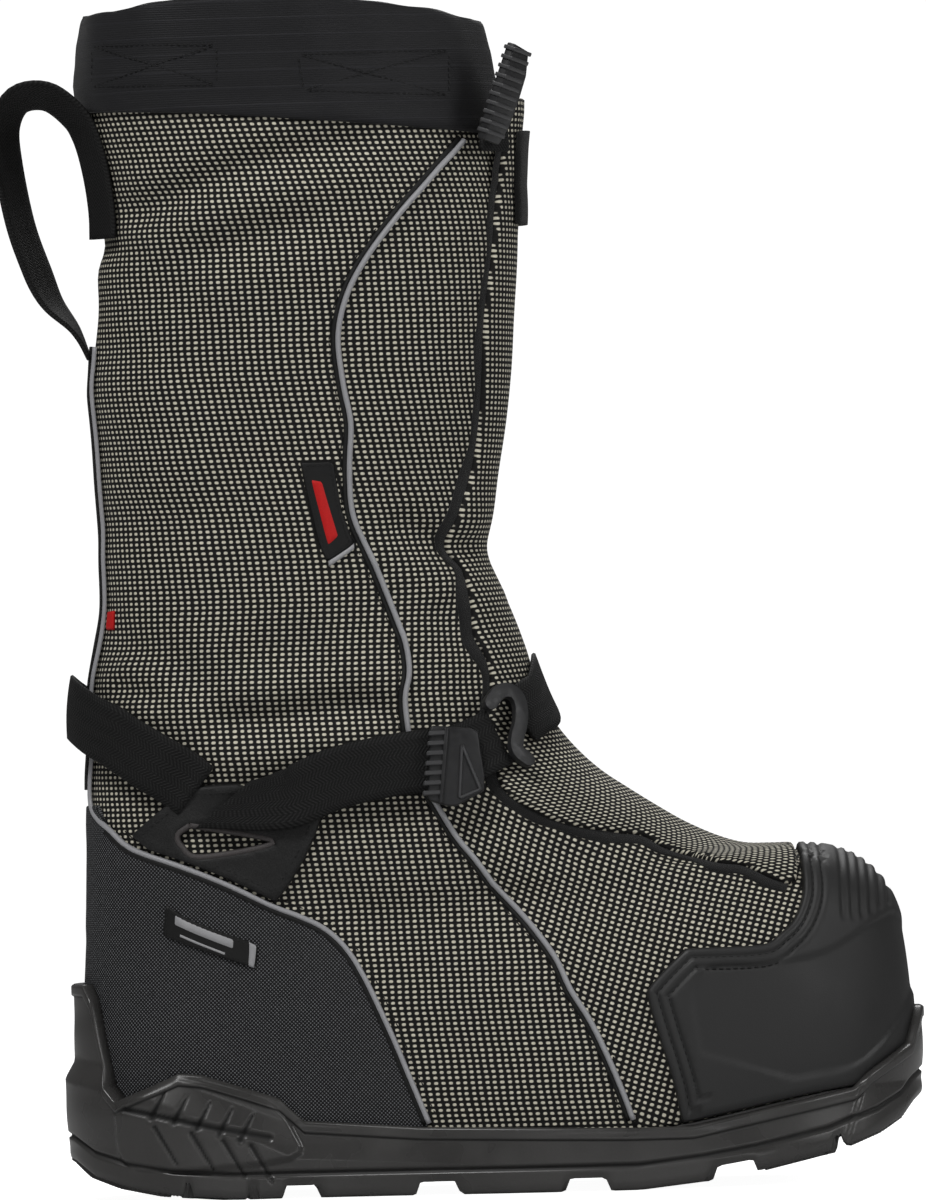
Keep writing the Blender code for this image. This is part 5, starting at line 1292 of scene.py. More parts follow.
def build_sole():
    """Cup sole: its side is one fine surface with lugs, groove, wings and bumper; its tread another."""
    half = SOLE_COLUMNS // 2
    turns = sole_turns()
    levels = len(LEVELS_LOW) + LEVELS_MIDDLE + len(LEVELS_HIGH)
    count = levels + len(SEAT_LEVELS)
    ring = np.zeros((count, SOLE_COLUMNS, 3))
    painted_cavity_shade = np.zeros((count, SOLE_COLUMNS))
    for j, turn in enumerate(turns):
        t = 0.5 - 0.5 * math.cos(turn)
        foot = base_surface(turn, 0.0)
        heights = base_surface(turn, FINE_ROWS)[:, 2]
        reach = float(sole_outset(t, 10.0))
        x_guess = foot[0] + reach * (2.0 * t - 1.0)
        top = float(sole_top(x_guess))
        bottom = float(sole_bottom(x_guess))
        gap = float(tread_gap(x_guess, SIDE_GAPS, TREAD_SLOPE)) * TREAD_DEPTH
        low = [bottom + gap + z * (6.5 - gap) / 6.5 if z < 6.5 else bottom + z for z in LEVELS_LOW]
        if x_guess < SERRATED[0] or x_guess > SERRATED[1]:
            low[0] += SERRATION * (j % 2)
        high = [top - z for z in LEVELS_HIGH]
        middle = list(np.linspace(low[-1], high[0], LEVELS_MIDDLE + 2)[1:-1])
        zs = np.array(low + middle + high)
        above = zs - bottom
        below = top - zs
        inset = 2.2 * np.clip(1.0 - above / (gap + 1.0), 0.0, 1.0) ** 2
        inset = inset + 0.5 * (1.0 - smooth(gap, gap + 3.0, above))
        inset = inset + 1.3 * np.exp(-(above - SOLE_GROOVE) ** 4)
        inset = inset - smooth(5.2, 4.4, below)
        inset = inset + 1.1 * np.clip(1.0 - below, 0.0, 1.0) ** 2
        rows = np.interp(zs, heights, FINE_ROWS)
        point = base_surface(turn, rows)
        run = base_surface(turn + 0.02, rows) - base_surface(turn - 0.02, rows)
        run = run / np.hypot(run[:, 0], run[:, 1])[:, None]
        out = sole_outset(t, zs) - inset
        side_x = point[:, 0] + run[:, 1] * out
        out = out + wing_relief(side_x, zs) * smooth(0.0, 3.0, below) + bumper_relief(side_x, zs)
        # Painted shade: the side groove, the step under the top edge and the wing's groove and slits are marked
        # for darkening in the sole look.
        groove = 0.8 * np.exp(-((above - SOLE_GROOVE) / 0.9) ** 4)
        step = 0.8 * (side_x > along(0.0)) * np.exp(-((below - 5.0) / 0.5) ** 2)
        painted_cavity_shade[:levels, j] = np.maximum(np.maximum(wing_painted_cavity_shade(side_x, zs), groove), step)
        ring[:levels, j] = np.stack([point[:, 0] + run[:, 1] * out, point[:, 1] - run[:, 0] * out, zs], axis=1)
        floor = foot[2] - 0.3
        for k, share in enumerate(SEAT_LEVELS):
            z = floor + (top - floor) * share
            row = float(np.interp(z, heights, FINE_ROWS))
            place = base_surface(turn, row)
            way = base_surface(turn + 0.02, row) - base_surface(turn - 0.02, row)
            way = way / math.hypot(way[0], way[1])
            ring[levels + k, j] = (place[0] + way[1] * SEAT_GAP, place[1] - way[0] * SEAT_GAP, z)
    faces = [tuple(q) for q in grid_quads(count, SOLE_COLUMNS, ring=True)]
    points = [ring.reshape(-1, 3)]
    base = count * SOLE_COLUMNS

    def cross(level, flip, tread):
        """Surface across the sole at one level, from its outer to its inner edge."""
        nonlocal base
        line_index = []
        for j in range(half + 1):
            a = level * SOLE_COLUMNS + j
            b = level * SOLE_COLUMNS + (SOLE_COLUMNS - j) % SOLE_COLUMNS
            if a == b:
                line_index.append(None)
                continue
            start, end = ring[level, j], ring[level, (SOLE_COLUMNS - j) % SOLE_COLUMNS]
            share = np.linspace(0.0, 1.0, SOLE_CROSS + 1)[1:-1, None]
            middle = start + (end - start) * share
            if tread:
                x, y = middle[:, 0], middle[:, 1]
                middle[:, 2] = sole_bottom(x) + tread_height(x, y)
            points.append(middle)
            line_index.append([a] + list(range(base, base + len(middle))) + [b])
            base += len(middle)
        for j in range(half):
            first, second = line_index[j], line_index[j + 1]
            if first is None or second is None:
                tip = level * SOLE_COLUMNS + (0 if first is None else half)
                line = second if first is None else first
                for k in range(len(line) - 1):
                    face_ = (tip, line[k], line[k + 1])
                    same = (first is None) == flip
                    faces.append(face_ if same else face_[::-1])
                continue
            for k in range(len(first) - 1):
                quad = (first[k], second[k], second[k + 1], first[k + 1])
                faces.append(quad[::-1] if flip else quad)

    cross(0, True, True)
    cross(count - 1, False, False)
    piece = make_piece("rubber_sole", np.vstack(points), faces, [LOOKS["sole"]], "outsole")
    recalc(piece)
    layer = piece.data.attributes.new("painted_cavity_shade", "FLOAT", "POINT")
    values = np.zeros(len(piece.data.vertices), dtype=np.float32)
    values[:painted_cavity_shade.size] = painted_cavity_shade.ravel()
    layer.data.foreach_set("value", values)


def build_insole():
    """Felt pad on the sole's floor."""
    count = INSOLE_COLUMNS
    turns = np.arange(count) * (2.0 * math.pi / count)
    edge = face(turns, np.zeros(count), -(WALL + INSOLE_EASE), 0.0)
    z = base_surface(turns, np.zeros(count))[:, 2]
    centre = edge[:, :2].mean(axis=0)
    rings = []
    for inward, up in INSOLE_RINGS:
        flat = edge[:, :2] - (edge[:, :2] - centre) * (inward / 60.0)
        rings.append(np.column_stack([flat, z + up]))
    points = np.vstack(rings)
    faces = [tuple(q) for q in grid_quads(len(rings), count, ring=True)]
    for start, flip in ((0, True), ((len(rings) - 1) * count, False)):
        for j in range(count // 2):
            a, b = start + j, start + j + 1
            c, d = start + (count - j - 1) % count, start + (count - j) % count
            loop = [a, b, c, d]
            loop = [p for k, p in enumerate(loop) if p not in loop[:k]]
            faces.append(tuple(loop[::-1] if flip else loop))
    recalc(make_piece("felt_insole", points, faces, [LOOKS["felt"]], "insole"))


# Layers over the upper
def flap_lean(turn, row):
    """How far the flap's top stands off the shaft, in front only."""
    z = base_surface(turn, row)[..., 2]
    share = (z - FOOTBED) / UPPER_HEIGHT
    rise = np.interp(share, [a for a, _ in FLAP_LEAN], [b for _, b in FLAP_LEAN])
    near = np.minimum(turn, 2 * math.pi - turn)
    return rise * (LEAN_EDGE + (1.0 - LEAN_EDGE) * smooth(LEAN_FROM, LEAN_FULL, near))


def capsule_mesh(places, ahead, out, length, radius, sides=5):
    """Small stitches: each a short rounded bar lying along its run."""
    points, faces = [], []
    for place, run, up in zip(places, ahead, out):
        run = run / np.linalg.norm(run)
        side = np.cross(up, run)
        side /= np.linalg.norm(side)
        up = np.cross(run, side)
        base = len(points)
        for along_share, wide in ((-0.5, 0.25), (-0.36, 0.85), (0.0, 1.0), (0.36, 0.85), (0.5, 0.25)):
            sink = -0.5 * radius * (2.0 * abs(along_share)) ** 2
            for k in range(sides):
                angle = 2 * math.pi * k / sides
                points.append(place + run * along_share * length + side * radius * wide * math.cos(angle)
                              + up * (radius * 0.8 * wide * math.sin(angle) + sink))
        for ring in range(4):
            for k in range(sides):
                a, b = base + ring * sides + k, base + ring * sides + (k + 1) % sides
                faces.append((a, b, b + sides, a + sides))
        faces.append(tuple(range(base, base + sides))[::-1])
        faces.append(tuple(range(base + 4 * sides, base + 5 * sides)))
    return points, faces


STITCHES = {}


def stitch_row(group, places, lift, pitch=3.0, length=2.1, radius=0.32):
    """Row of stitches over the upper along turns and rows."""
    fine, _ = resample(places, pitch)
    solid = face(fine[:, 0], fine[:, 1], lift)
    runs = np.gradient(solid, axis=0)
    out = normals(fine[:, 0], fine[:, 1])
    add_stitches(group, solid[1:-1], runs[1:-1], out[1:-1], length, radius)


def add_stitches(group, places, runs, outs, length, radius):
    points, faces = capsule_mesh(places, runs, outs, length, radius)
    store = STITCHES.setdefault(group, ([], []))
    base = len(store[0])
    store[0].extend(points)
    store[1].extend(tuple(k + base for k in f) for f in faces)


def finish_stitches():
    for group, (points, faces) in STITCHES.items():
        make_piece(group, np.array(points), faces, [LOOKS["thread"]])


def inner_line(loop, distance):
    """Closed loop moved inward over the upper."""
    loop = dense_loop(np.asarray(loop, dtype=float), 2.0)
    area = (loop[:, 0] * np.roll(loop[:, 1], -1) - np.roll(loop[:, 0], -1) * loop[:, 1]).sum()
    way = 1.0 if area > 0 else -1.0
    return loop + inward_moves(loop) * way * distance


def line_places(line, parts=6, side=-1):
    """Turns and rows along a smooth line drawn in shares, from first to last point."""
    return side_places(catmull(to_mm(line), parts), side)


def build_cuff():
    """Nylon band over the collar's rim, outside and down inside."""
    count = CUFF_COLUMNS
    turns = np.arange(count) * (2 * math.pi / count)
    line = to_mm(CUFF_LINE)
    x_rim = base_surface(turns, np.full(count, CUFF_ROW))[:, 0]
    low_z = np.interp(x_rim, line[:, 0], line[:, 1])
    low = np.array([float(row_at(t, z)) for t, z in zip(turns, low_z)])
    top = LAST_ROW - 0.02
    rings, values = [], []
    arc = shaft_weave(turns, np.full(count, CUFF_ROW))[:, 0]
    for f, lift in CUFF_RINGS:
        rows = low + (top - low) * f
        wave = 0.35 * np.sin(arc / 5.2 + 3 * f) * (0.3 + f) * (f > 0.05)
        rings.append(face(turns, rows, lift + wave))
        values.append(np.stack([arc, base_surface(turns, rows)[:, 2]], axis=1))
    rim = face(turns, np.full(count, top), 2.3)
    rim_in = face(turns, np.full(count, top), CUFF_INNER)
    for angle in (30, 60, 90, 120, 150):
        a = math.radians(angle)
        share = 0.5 - 0.5 * math.cos(a)
        up = 1.0 * math.sin(a) + 0.45 * np.sin(arc / 9.1) + 0.3 * np.sin(arc / 4.1)
        ring = rim + (rim_in - rim) * share
        ring[:, 2] += up
        rings.append(ring)
        values.append(np.stack([arc, base_surface(turns, np.full(count, top))[:, 2] + angle / 20.0], axis=1))
    for f in (1.0, 0.8, 0.6, 0.4, 0.2, 0.0):
        rows = (low + 0.8) + (top - low - 0.8) * f
        wave = 0.3 * np.sin(arc / 5.2 + 3 * f)
        rings.append(face(turns, rows, CUFF_INNER - wave))
        values.append(np.stack([arc, base_surface(turns, rows)[:, 2] + 20], axis=1))
    rings.append(face(turns, low + 0.8, -WALL - 0.2))
    values.append(values[-1])
    points = np.vstack(rings)
    faces = grid_quads(len(rings), count, ring=True, ring_rows=True)
    table = np.vstack(values)
    corner = table[faces].copy()
    wrap = (faces % count == 0) & (faces.max(axis=1, keepdims=True) % count == count - 1)
    around = base_surface(np.linspace(0, 2 * math.pi, 400), np.full(400, CUFF_ROW))[:, :2]
    total = float(np.hypot(*np.diff(around, axis=0).T).sum())
    unsigned = np.where(arc < 0, arc + total, arc)
    corner[..., 0] = unsigned[faces % count] + np.where(wrap, total, 0.0)
    recalc(make_piece("nylon_cuff", points, faces, [LOOKS["nylon"]], "collar_cuff",
                      corner.reshape(-1, 2)))


def across_row(turns, x):
    """Row at which each turn's line over the foot passes a place along it."""
    rows = []
    for turn in np.atleast_1d(turns):
        line = base_surface(turn, FINE_ROWS[:8 * 16])
        order = np.argsort(line[:, 0])
        rows.append(float(np.interp(x, line[order, 0], FINE_ROWS[:8 * 16][order])))
    return np.array(rows)


def flap_weave(turn, row):
    """Length around from the front, and length up along the front."""
    front = base_surface(np.full(len(FINE_ROWS), math.pi), FINE_ROWS)
    run = np.concatenate([[0.0], np.cumsum(np.linalg.norm(np.diff(front, axis=0), axis=1))])
    places = shaft_weave(turn, row, from_front=True)
    return np.stack([places[..., 0], np.interp(row, FINE_ROWS, run)], axis=-1)


def flap_loop():
    """Edge of the flap, as one half from the toe cap up to its top middle, and the closed loop."""
    left = line_places(FLAP_LINE, 4)[::-1]
    top_turns = np.linspace(left[-1, 0], math.pi, 9)[1:]
    corner = np.array([[left[-1, 0], row_of(left[-1, 0], FLAP_TOP) - 0.15]])
    top = np.array([(t, row_of(t, FLAP_TOP)) for t in top_turns])
    bottom_turns = np.linspace(left[0, 0], math.pi, 12)[1:]
    bottom = np.stack([bottom_turns, across_row(bottom_turns, float(along(0.861)))], axis=1)
    half = np.vstack([bottom[::-1], left, corner, top])
    loop = np.vstack([half[:-1], mirrored(half)[::-1][:-1]])
    return left, loop


def build_flap():
    """Front flap: one soft sheet over the front, from the toe cap to above the collar."""
    left, loop = flap_loop()
    panel("flap_cloth", loop, FLAP_LIFT, [LOOKS["cloth"]], "front_flap", edge=1.6,
          spacing=3.2, extra=flap_lean, weave=flap_weave)
    for side, word in ((-1, "outer"), (1, "inner")):
        path = left if side < 0 else mirrored(left)
        solid = base_surface(path[:, 0], path[:, 1])
        share = (solid[:, 2] - FOOTBED) / UPPER_HEIGHT

        def width(f, share=share):
            here = float(np.interp(f, np.linspace(0, 1, len(share)), share))
            return float(np.interp(here, [0.22, 0.30, 0.42, 0.47, 0.62], [1.2, 1.5, 1.9, 1.5, 1.0])) * (
                1.0 + 0.22 * math.sin(41.0 * f) + 0.12 * math.sin(97.0 * f))

        def lift(f, path=path):
            k = min(int(f * (len(path) - 1)), len(path) - 1)
            return 0.1 + float(flap_lean(*path[k]))

        # Dark pile strip along each flap edge; its darkness and wavering width also paint the shadow in the gap
        # under the flap's edge.
        ribbon("flap_edge_pile_and_shadow_" + word, path, PILE_PROFILE, [LOOKS["pile"]], spacing=3.0, lift=lift, width=width)


def cap_shape(turn, row, solid, gap):
    """Grooves inside the toe cap's edge, its side field and its cross grooves."""
    x, z = solid[:, 0], solid[:, 2]
    back = line_distance(x, z, catmull(to_mm(CAP_LINE), 4))[0]
    over = x < along(0.90)
    near = np.where((back < gap + 4.0) | (over & (z > float(height(0.19)))), gap, 30.0)
    first, second = CAP_GROOVES
    change = -1.3 * np.exp(-((near - first) / 0.8) ** 2) - 1.3 * np.exp(-((near - second) / 0.8) ** 2)
    field = catmull(to_mm(CAP_FIELD), 4)
    places = np.stack([x, z], axis=1)
    inside = inside_polygon(places, field)
    edge = edge_distance(places, [field])
    signed = np.where(inside, edge, -edge)
    change = change - 1.1 * smooth(-1.0, 1.0, signed)
    beads = smooth(along(0.900), along(0.908), x) * (1 - smooth(along(0.962), along(0.970), x))
    beads = beads * smooth(2.0, 4.0, -signed) * smooth(float(height(0.176)), float(height(0.186)), z)
    across = (x - along(0.905)) % CAP_GROOVE_PITCH - 0.5 * CAP_GROOVE_PITCH
    return change - 1.2 * beads * np.exp(-(across / 0.9) ** 2)


def cap_loop():
    left = line_places(CAP_LINE[1:], 4)
    start = CAP_LINE[0]
    turns = np.linspace(left[-1, 0], math.pi, 12)[1:]
    top = np.stack([turns, across_row(turns, float(along(0.8645)))], axis=1)
    low = []
    first_turn = side_places(to_mm([start]))[0, 0]
    for t in np.linspace(first_turn, math.pi, 60):
        x = float(base_surface(t, 0.0)[0])
        low.append((t, max(float(row_at(t, sole_top(x + 3.0) + 0.6)), 0.02)))
    low = np.array(low)
    half = np.vstack([low[::-1], left, top])
    return np.vstack([half[:-1], mirrored(half)[::-1][:-1]])


def build_toe_cap():
    loop = cap_loop()
    panel("rubber_toe_cap", loop, CAP_LIFT, [LOOKS["cap"]], "toe_cap", edge=1.8,
          insets=CAP_INSETS, spacing=1.7, shape=cap_shape)
    for inset in CAP_GROOVES:
        ring = inner_line(loop, inset)
        solid = base_surface(ring[:, 0], ring[:, 1])
        off = line_distance(solid[:, 0], solid[:, 2], catmull(to_mm(CAP_LINE), 4))[0]
        keep = (off < 11.0) & (solid[:, 2] > sole_top(solid[:, 0]) + 6.0)
        for run in split_runs(ring, keep):
            stitch_row("cap_stitches", run, CAP_LIFT - 1.15, pitch=2.9, length=2.0, radius=0.3)


def split_runs(ring, keep):
    """Stretches of a closed ring where keep holds."""
    if keep.all():
        return [ring]
    start = int(np.argmin(keep))
    ring, keep = np.roll(ring, -start, axis=0), np.roll(keep, -start)
    runs, now = [], []
    for place, good in zip(ring, keep):
        if good:
            now.append(place)
        elif now:
            runs.append(now)
            now = []
    if now:
        runs.append(now)
    return [np.array(run) for run in runs if len(run) > 4]


# Heel, tabs, straps and pipings
def back_places(share_list, distance, side=-1):
    """Turns and rows beside the back's middle line, at heights in shares."""
    found = []
    for share in share_list:
        row = row_of(0.0, share)
        turn, row = walk(0.0, row, np.array([0.0, -1.0, 0.0]), distance, steps=6)
        found.append((turn, row))
    found = np.array(found)
    return found if side < 0 else past_back(found)


def build_counter():
    left = line_places(COUNTER_LINE, 4)
    low = []
    for t in np.linspace(0.0, left[0, 0], 50)[:-1]:
        x = float(base_surface(t, 0.0)[0])
        low.append((t, max(float(row_at(t, sole_top(x - 3.0) - 5.0)), 0.02)))
    top = np.array([(t, left[-1, 1]) for t in np.linspace(left[-1, 0], 0.0, 6)[1:]])
    half = np.vstack([np.array(low), left, top])
    other = past_back(half)[::-1]
    loop = np.vstack([half[:-1], other[:-1]])
    panel("heel_counter_cloth", loop, COUNTER_LIFT, [LOOKS["charcoal"]], "heel_counter",
          edge=1.0, spacing=3.0)


def build_pipings():
    for side, word in ((-1, "outer"), (1, "inner")):
        path = line_places(SIDE_LINE, 3, side)
        ribbon("piping_side_" + word + "_band", path, cord_profile(1.15, 1.5), [LOOKS["piping"]],
               "piping_side_" + word, spacing=2.0, lift=0.5)
        counter = line_places(COUNTER_LINE[:-1], 3)
        up = back_places((0.30, 0.34, 0.42, 0.50, 0.58, 0.66, 0.70), 0.5 * (STRAP_WIDTH + PIPING_WIDTH) + 0.4)
        path = np.vstack([counter, up])
        if side > 0:
            path = past_back(path)
        ribbon("piping_heel_" + word + "_band", path, cord_profile(1.15, 1.5), [LOOKS["piping"]],
               "piping_heel_" + word, spacing=2.0, lift=0.9)


def build_piping_shadows():
    """Dark strip along each piping: painted shadow beside its bead."""
    for side, word in ((-1, "outer"), (1, "inner")):
        path = side_places(sideways(catmull(to_mm(SIDE_LINE), 3), -1.7), side)
        ribbon("seam_shadow_side_" + word, path, SEAM_SHADOW_PROFILE, [LOOKS["thread"]], spacing=2.6, lift=0.05)
        path = side_places(sideways(catmull(to_mm(COUNTER_LINE[:-1]), 3), 1.7), side)
        ribbon("seam_shadow_heel_" + word, path, SEAM_SHADOW_PROFILE, [LOOKS["thread"]], spacing=2.6, lift=1.4)


def tab_bead(turn, row, solid, gap):
    """Low bead inside a tab's edge."""
    return 0.7 * np.exp(-((gap - 1.8) / 1.2) ** 2)


def build_tabs():
    """Coated anchor tabs with a slot, its rim and a row of stitches."""
    for side, word in ((-1, "outer"), (1, "inner")):
        line = sideways(catmull(to_mm(COUNTER_LINE), 3), -2.2)
        keep = (line[:, 0] > along(0.098)) & (line[:, 0] < along(0.256))
        seam = side_places(line)[keep][::-1]
        top = side_places(to_mm(TAB_TOP))
        if abs(seam[0, 0] - top[-1, 0]) < abs(seam[-1, 0] - top[-1, 0]):
            loop = np.vstack([top, seam])
        else:
            loop = np.vstack([top, seam[::-1]])
        slot = side_places(catmull(to_mm(TAB_SLOT + TAB_SLOT[:1]), 4)[:-1])
        if side > 0:
            loop, slot = mirrored(loop), mirrored(slot)
        panel("tab_" + word + "_cloth", loop, TAB_LIFT, [LOOKS["coated"]], "tab_" + word,
              edge=1.3, spacing=2.4, outline_step=1.2, holes=[slot], shape=tab_bead)
        closed = np.vstack([slot, slot[:1]])
        ribbon("tab_slot_rim_" + word, closed, SLOT_RIM_PROFILE, [LOOKS["slot_rim"]], spacing=1.6,
               lift=TAB_LIFT - 0.6)
        inside = inner_line(loop, 3.6)
        stitch_row("tab_stitches", inside, TAB_LIFT + 0.15, pitch=2.6, length=1.8, radius=0.26)


def label_patch(name, corners, look, lift, under):
    loop = side_places(to_mm(corners))
    panel(name, loop, lift, [LOOKS[look]], edge=0.2, spacing=3.0, under=under, outline_step=1.0, insets=(0.3,))


def build_labels():
    """Woven labels without their words: plain bars stand where the words are."""
    loop = side_places(to_mm(SIDE_LABEL))
    panel("side_label_cloth", loop, 1.0, [LOOKS["label"]], "side_label", edge=0.5, spacing=3.0)
    stitch_row("label_stitches", inner_line(loop, 1.6), 1.05, pitch=2.2, length=1.5, radius=0.2)
    for patch in SIDE_PATCHES:
        label_patch(*patch)
    loop = side_places(to_mm(HEEL_LABEL))
    panel("heel_label_cloth", loop, 2.9, [LOOKS["label"]], "heel_label", edge=0.5, spacing=3.0)
    for patch in HEEL_PATCHES:
        label_patch(*patch)
    stitch_row("label_stitches", inner_line(loop, 1.4), 2.95, pitch=2.2, length=1.5, radius=0.2)


def build_back():
    """Back strip, its pull loop and the small folded tag."""
    path = np.array([(0.0, row_of(0.0, s)) for s in np.linspace(0.312, 0.700, 9)])
    ribbon("back_strip_webbing", path, strap_profile(0.5 * STRAP_WIDTH - 0.4, 1.5), [LOOKS["webbing"]],
           "back_strip", lift=0.75)
    for side in (-1, 1):
        stitch_row("strap_stitches", back_places(np.linspace(0.32, 0.695, 14), 10.3, side), 2.4, pitch=3.0)
    middle = []
    for behind, share in LOOP_PATH:
        z = float(height(share))
        back = float(base_surface(0.0, row_at(0.0, z))[0])
        middle.append((back - behind, z))
    line = evenly(catmull(middle, 8), LOOP_STEP)
    normal = sideways(line, 1.0) - line
    profile = strap_profile(0.5 * STRAP_WIDTH, 2.0)
    ring = np.zeros((len(line), len(profile), 3))
    for i in range(len(line)):
        f = i / (len(line) - 1)
        lean = LOOP_TURN * float(smooth(0.0, 0.22, f))
        shift = LOOP_ASIDE * float(smooth(0.35, 0.72, f))
        for k, (side, up) in enumerate(profile):
            aside = -side * math.sin(lean) + (up - 1.0) * math.cos(lean)
            x = line[i, 0] + normal[i, 0] * aside + shift ** 2 / 110.0
            z = line[i, 1] + normal[i, 1] * aside
            ring[i, k] = (x, side * math.cos(lean) + (up - 1.0) * math.sin(lean) - shift, z)
    faces = tube_faces(len(line), len(profile))
    corners = tube_weave(profile, np.arange(len(line)) * LOOP_STEP, faces)
    recalc(make_piece("pull_loop_webbing", ring.reshape(-1, 3), faces, [LOOKS["webbing"]], "pull_loop",
                      corners))
    centre = back_places([0.461], 0.5 * STRAP_WIDTH + 3.4 + 1.6 + 3.5)[0]
    corners = ((-1, -1), (1, -1), (1, 1), (-1, 1))
    loop = np.array([(centre[0] + a * 0.055, centre[1] + b * 0.28) for a, b in corners])
    panel("red_tag", loop, 1.4, [LOOKS["red"]], "back_tag", edge=0.7, spacing=2.0, outline_step=0.9)


def heel_lift(share):
    """Stands off at the back, and goes under the tabs at both ends."""
    end = min(share, 1.0 - share)
    off_back = 3.5 * math.exp(-((share - 0.5) / 0.16) ** 2)
    return 0.4 + (HEEL_STRAP_LIFT - 0.4) * smooth(0.03, 0.13, end) + off_back


def build_straps():
    """Ankle strap in three runs."""
    profile = strap_profile(0.5 * STRAP_WIDTH, STRAP_THICK)
    outer = line_places([(0.197, 0.297), (0.222, 0.298), (0.249, 0.300)] + TAB_STRAP_LINE[1:], 4)
    ribbon("strap_outer_webbing", outer, profile, [LOOKS["webbing"]], "strap_outer", lift=STRAP_LIFT,
           folds=0.3, skew=0.95, width=lambda f: 0.72 + 0.28 * smooth(0.0, 0.22, f))
    heel = line_places([(0.166, 0.309)] + HEEL_STRAP_LINE[1:], 4)
    back = np.array([[0.0, row_of(0.0, HEEL_STRAP_BACK)]])
    heel = np.vstack([heel, back, past_back(heel)[::-1]])
    ribbon("strap_heel_webbing", heel, profile, [LOOKS["webbing"]], "strap_heel", folds=0.3,
           lift=heel_lift)
    front = line_places(FRONT_STRAP_LINE, 4)
    middle = np.array([[math.pi, row_of(math.pi, FRONT_STRAP_FRONT)]])
    path = np.vstack([front, middle, mirrored(front)[::-1], mirrored(outer)[::-1]])
    ribbon("strap_front_webbing", path, profile, [LOOKS["webbing"]], "strap_front", lift=STRAP_LIFT,
           folds=0.3)


def local_frame(place, lift):
    """Origin, forward, up and outward directions at a place on the outer side."""
    (turn, row), = side_places(to_mm([place]))
    origin = face(np.array(turn), np.array(row), lift, 0.0)
    around, up = slopes(np.array(turn), np.array(row))
    out = np.cross(around, up)
    out /= np.linalg.norm(out)
    forward = around / np.linalg.norm(around)
    return origin, forward, np.cross(out, forward), out


def turned(frame, angle):
    origin, forward, up, out = frame
    c, s = math.cos(angle), math.sin(angle)
    return origin, forward * c + up * s, up * c - forward * s, out


def soft_slab(name, outline, frame, low, high, materials, node=None, bevel=0.7):
    """Moulded plate with rounded edges, from an outline in a local frame."""
    origin, forward, up, out = frame
    outline = np.asarray(outline, dtype=float)
    base = [origin + forward * a + up * b + out * low for a, b in outline]
    top = [origin + forward * a + up * b + out * high for a, b in outline]
    count = len(outline)
    faces = [tuple(range(count)), tuple(range(count, 2 * count))]
    faces += [(i, (i + 1) % count, count + (i + 1) % count, count + i) for i in range(count)]
    piece = recalc(make_piece(name, np.array(base + top), faces, materials, node))
    soften = piece.modifiers.new("soft_edges", "BEVEL")
    soften.width = bevel * MM
    soften.segments = 3
    soften.limit_method = "ANGLE"
    soften.angle_limit = math.radians(30.0)
    return piece


def stroke(line, width):
    """Closed outline of a line with a width and round ends."""
    line = np.asarray(line, dtype=float)
    left, right = sideways(line, 0.5 * width), sideways(line, -0.5 * width)
    caps = []
    for end, way in ((line[-1], line[-1] - line[-2]), (line[0], line[0] - line[1])):
        way = way / np.linalg.norm(way)
        side = np.array([-way[1], way[0]])
        angles = (0.9, 0.3, -0.3, -0.9)
        caps.append([end + 0.5 * width * (way * math.cos(a) + side * math.sin(a)) for a in angles])
    return np.vstack([left, caps[0], right[::-1], caps[1]])


def build_buckle():
    """Ladder buckle: a smooth plate with ribs at its rear and a raised triangle, the ribs and the triangle's
    line in a lighter plastic that paints their highlights.
    """
    frame = turned(local_frame((0.464, 0.322), PLATE_LIFT), math.radians(-12.0))
    plate = [(12.4, -8.5), (12.0, -2.0), (9.6, 7.0), (7.6, 15.6), (4.0, 16.6), (-11.6, 15.8), (-12.2, 14.0),
             (-10.8, -13.6), (-9.0, -15.0), (-2.0, -16.2), (1.6, -15.8)]
    soft_slab("buckle_plate", plate, frame, 0.0, 3.0, [LOOKS["plastic"]], "strap_buckle", 0.9)
    rear = [(-4.8, 15.6), (-4.2, -15.6), (-6.0, -16.0), (-6.6, 15.4)]
    soft_slab("buckle_step", rear, frame, 1.0, 4.4, [LOOKS["plastic"]], bevel=0.6)
    for k in range(7):
        high = 13.8 - k * 4.1
        rib = [(-12.8, high - 0.6), (-5.4, high + 0.6), (-5.4, high - 1.3), (-12.8, high - 2.5)]
        soft_slab("buckle_rib_" + str(k), rib, frame, 1.5, 4.2, [LOOKS["plastic_edge_highlight"]], bevel=0.45)
    triangle = [(1.4, 9.0), (10.6, -8.0), (2.4, -12.6)]
    closed = np.vstack([triangle, triangle[:1]])
    origin, forward, up, out = frame
    line = evenly(closed, 1.0)
    normal = sideways(line, 1.0) - line
    ring = []
    for (a, b), (na, nb) in zip(line, normal):
        for aside, lift in ((-0.8, 2.9), (-0.35, 3.8), (0.35, 3.8), (0.8, 2.9)):
            ring.append(origin + forward * (a + na * aside) + up * (b + nb * aside) + out * lift)
    make_piece("buckle_line", np.array(ring), grid_quads(len(line), 4, ring=True), [LOOKS["plastic_edge_highlight"]])


def build_hook():
    """Flat hook of the ankle strap."""
    frame = local_frame((0.526, 0.354), PLATE_LIFT)
    line = catmull([(-10, 10), (-4, 14.5), (2, 14), (4.5, 9), (2.5, 1), (-1.5, -6), (-2.5, -11), (1.5, -15)], 4)
    soft_slab("hook_plate", stroke(line, 6.0), frame, 0.0, 3.0, [LOOKS["plastic"]], "strap_hook",
              1.0)


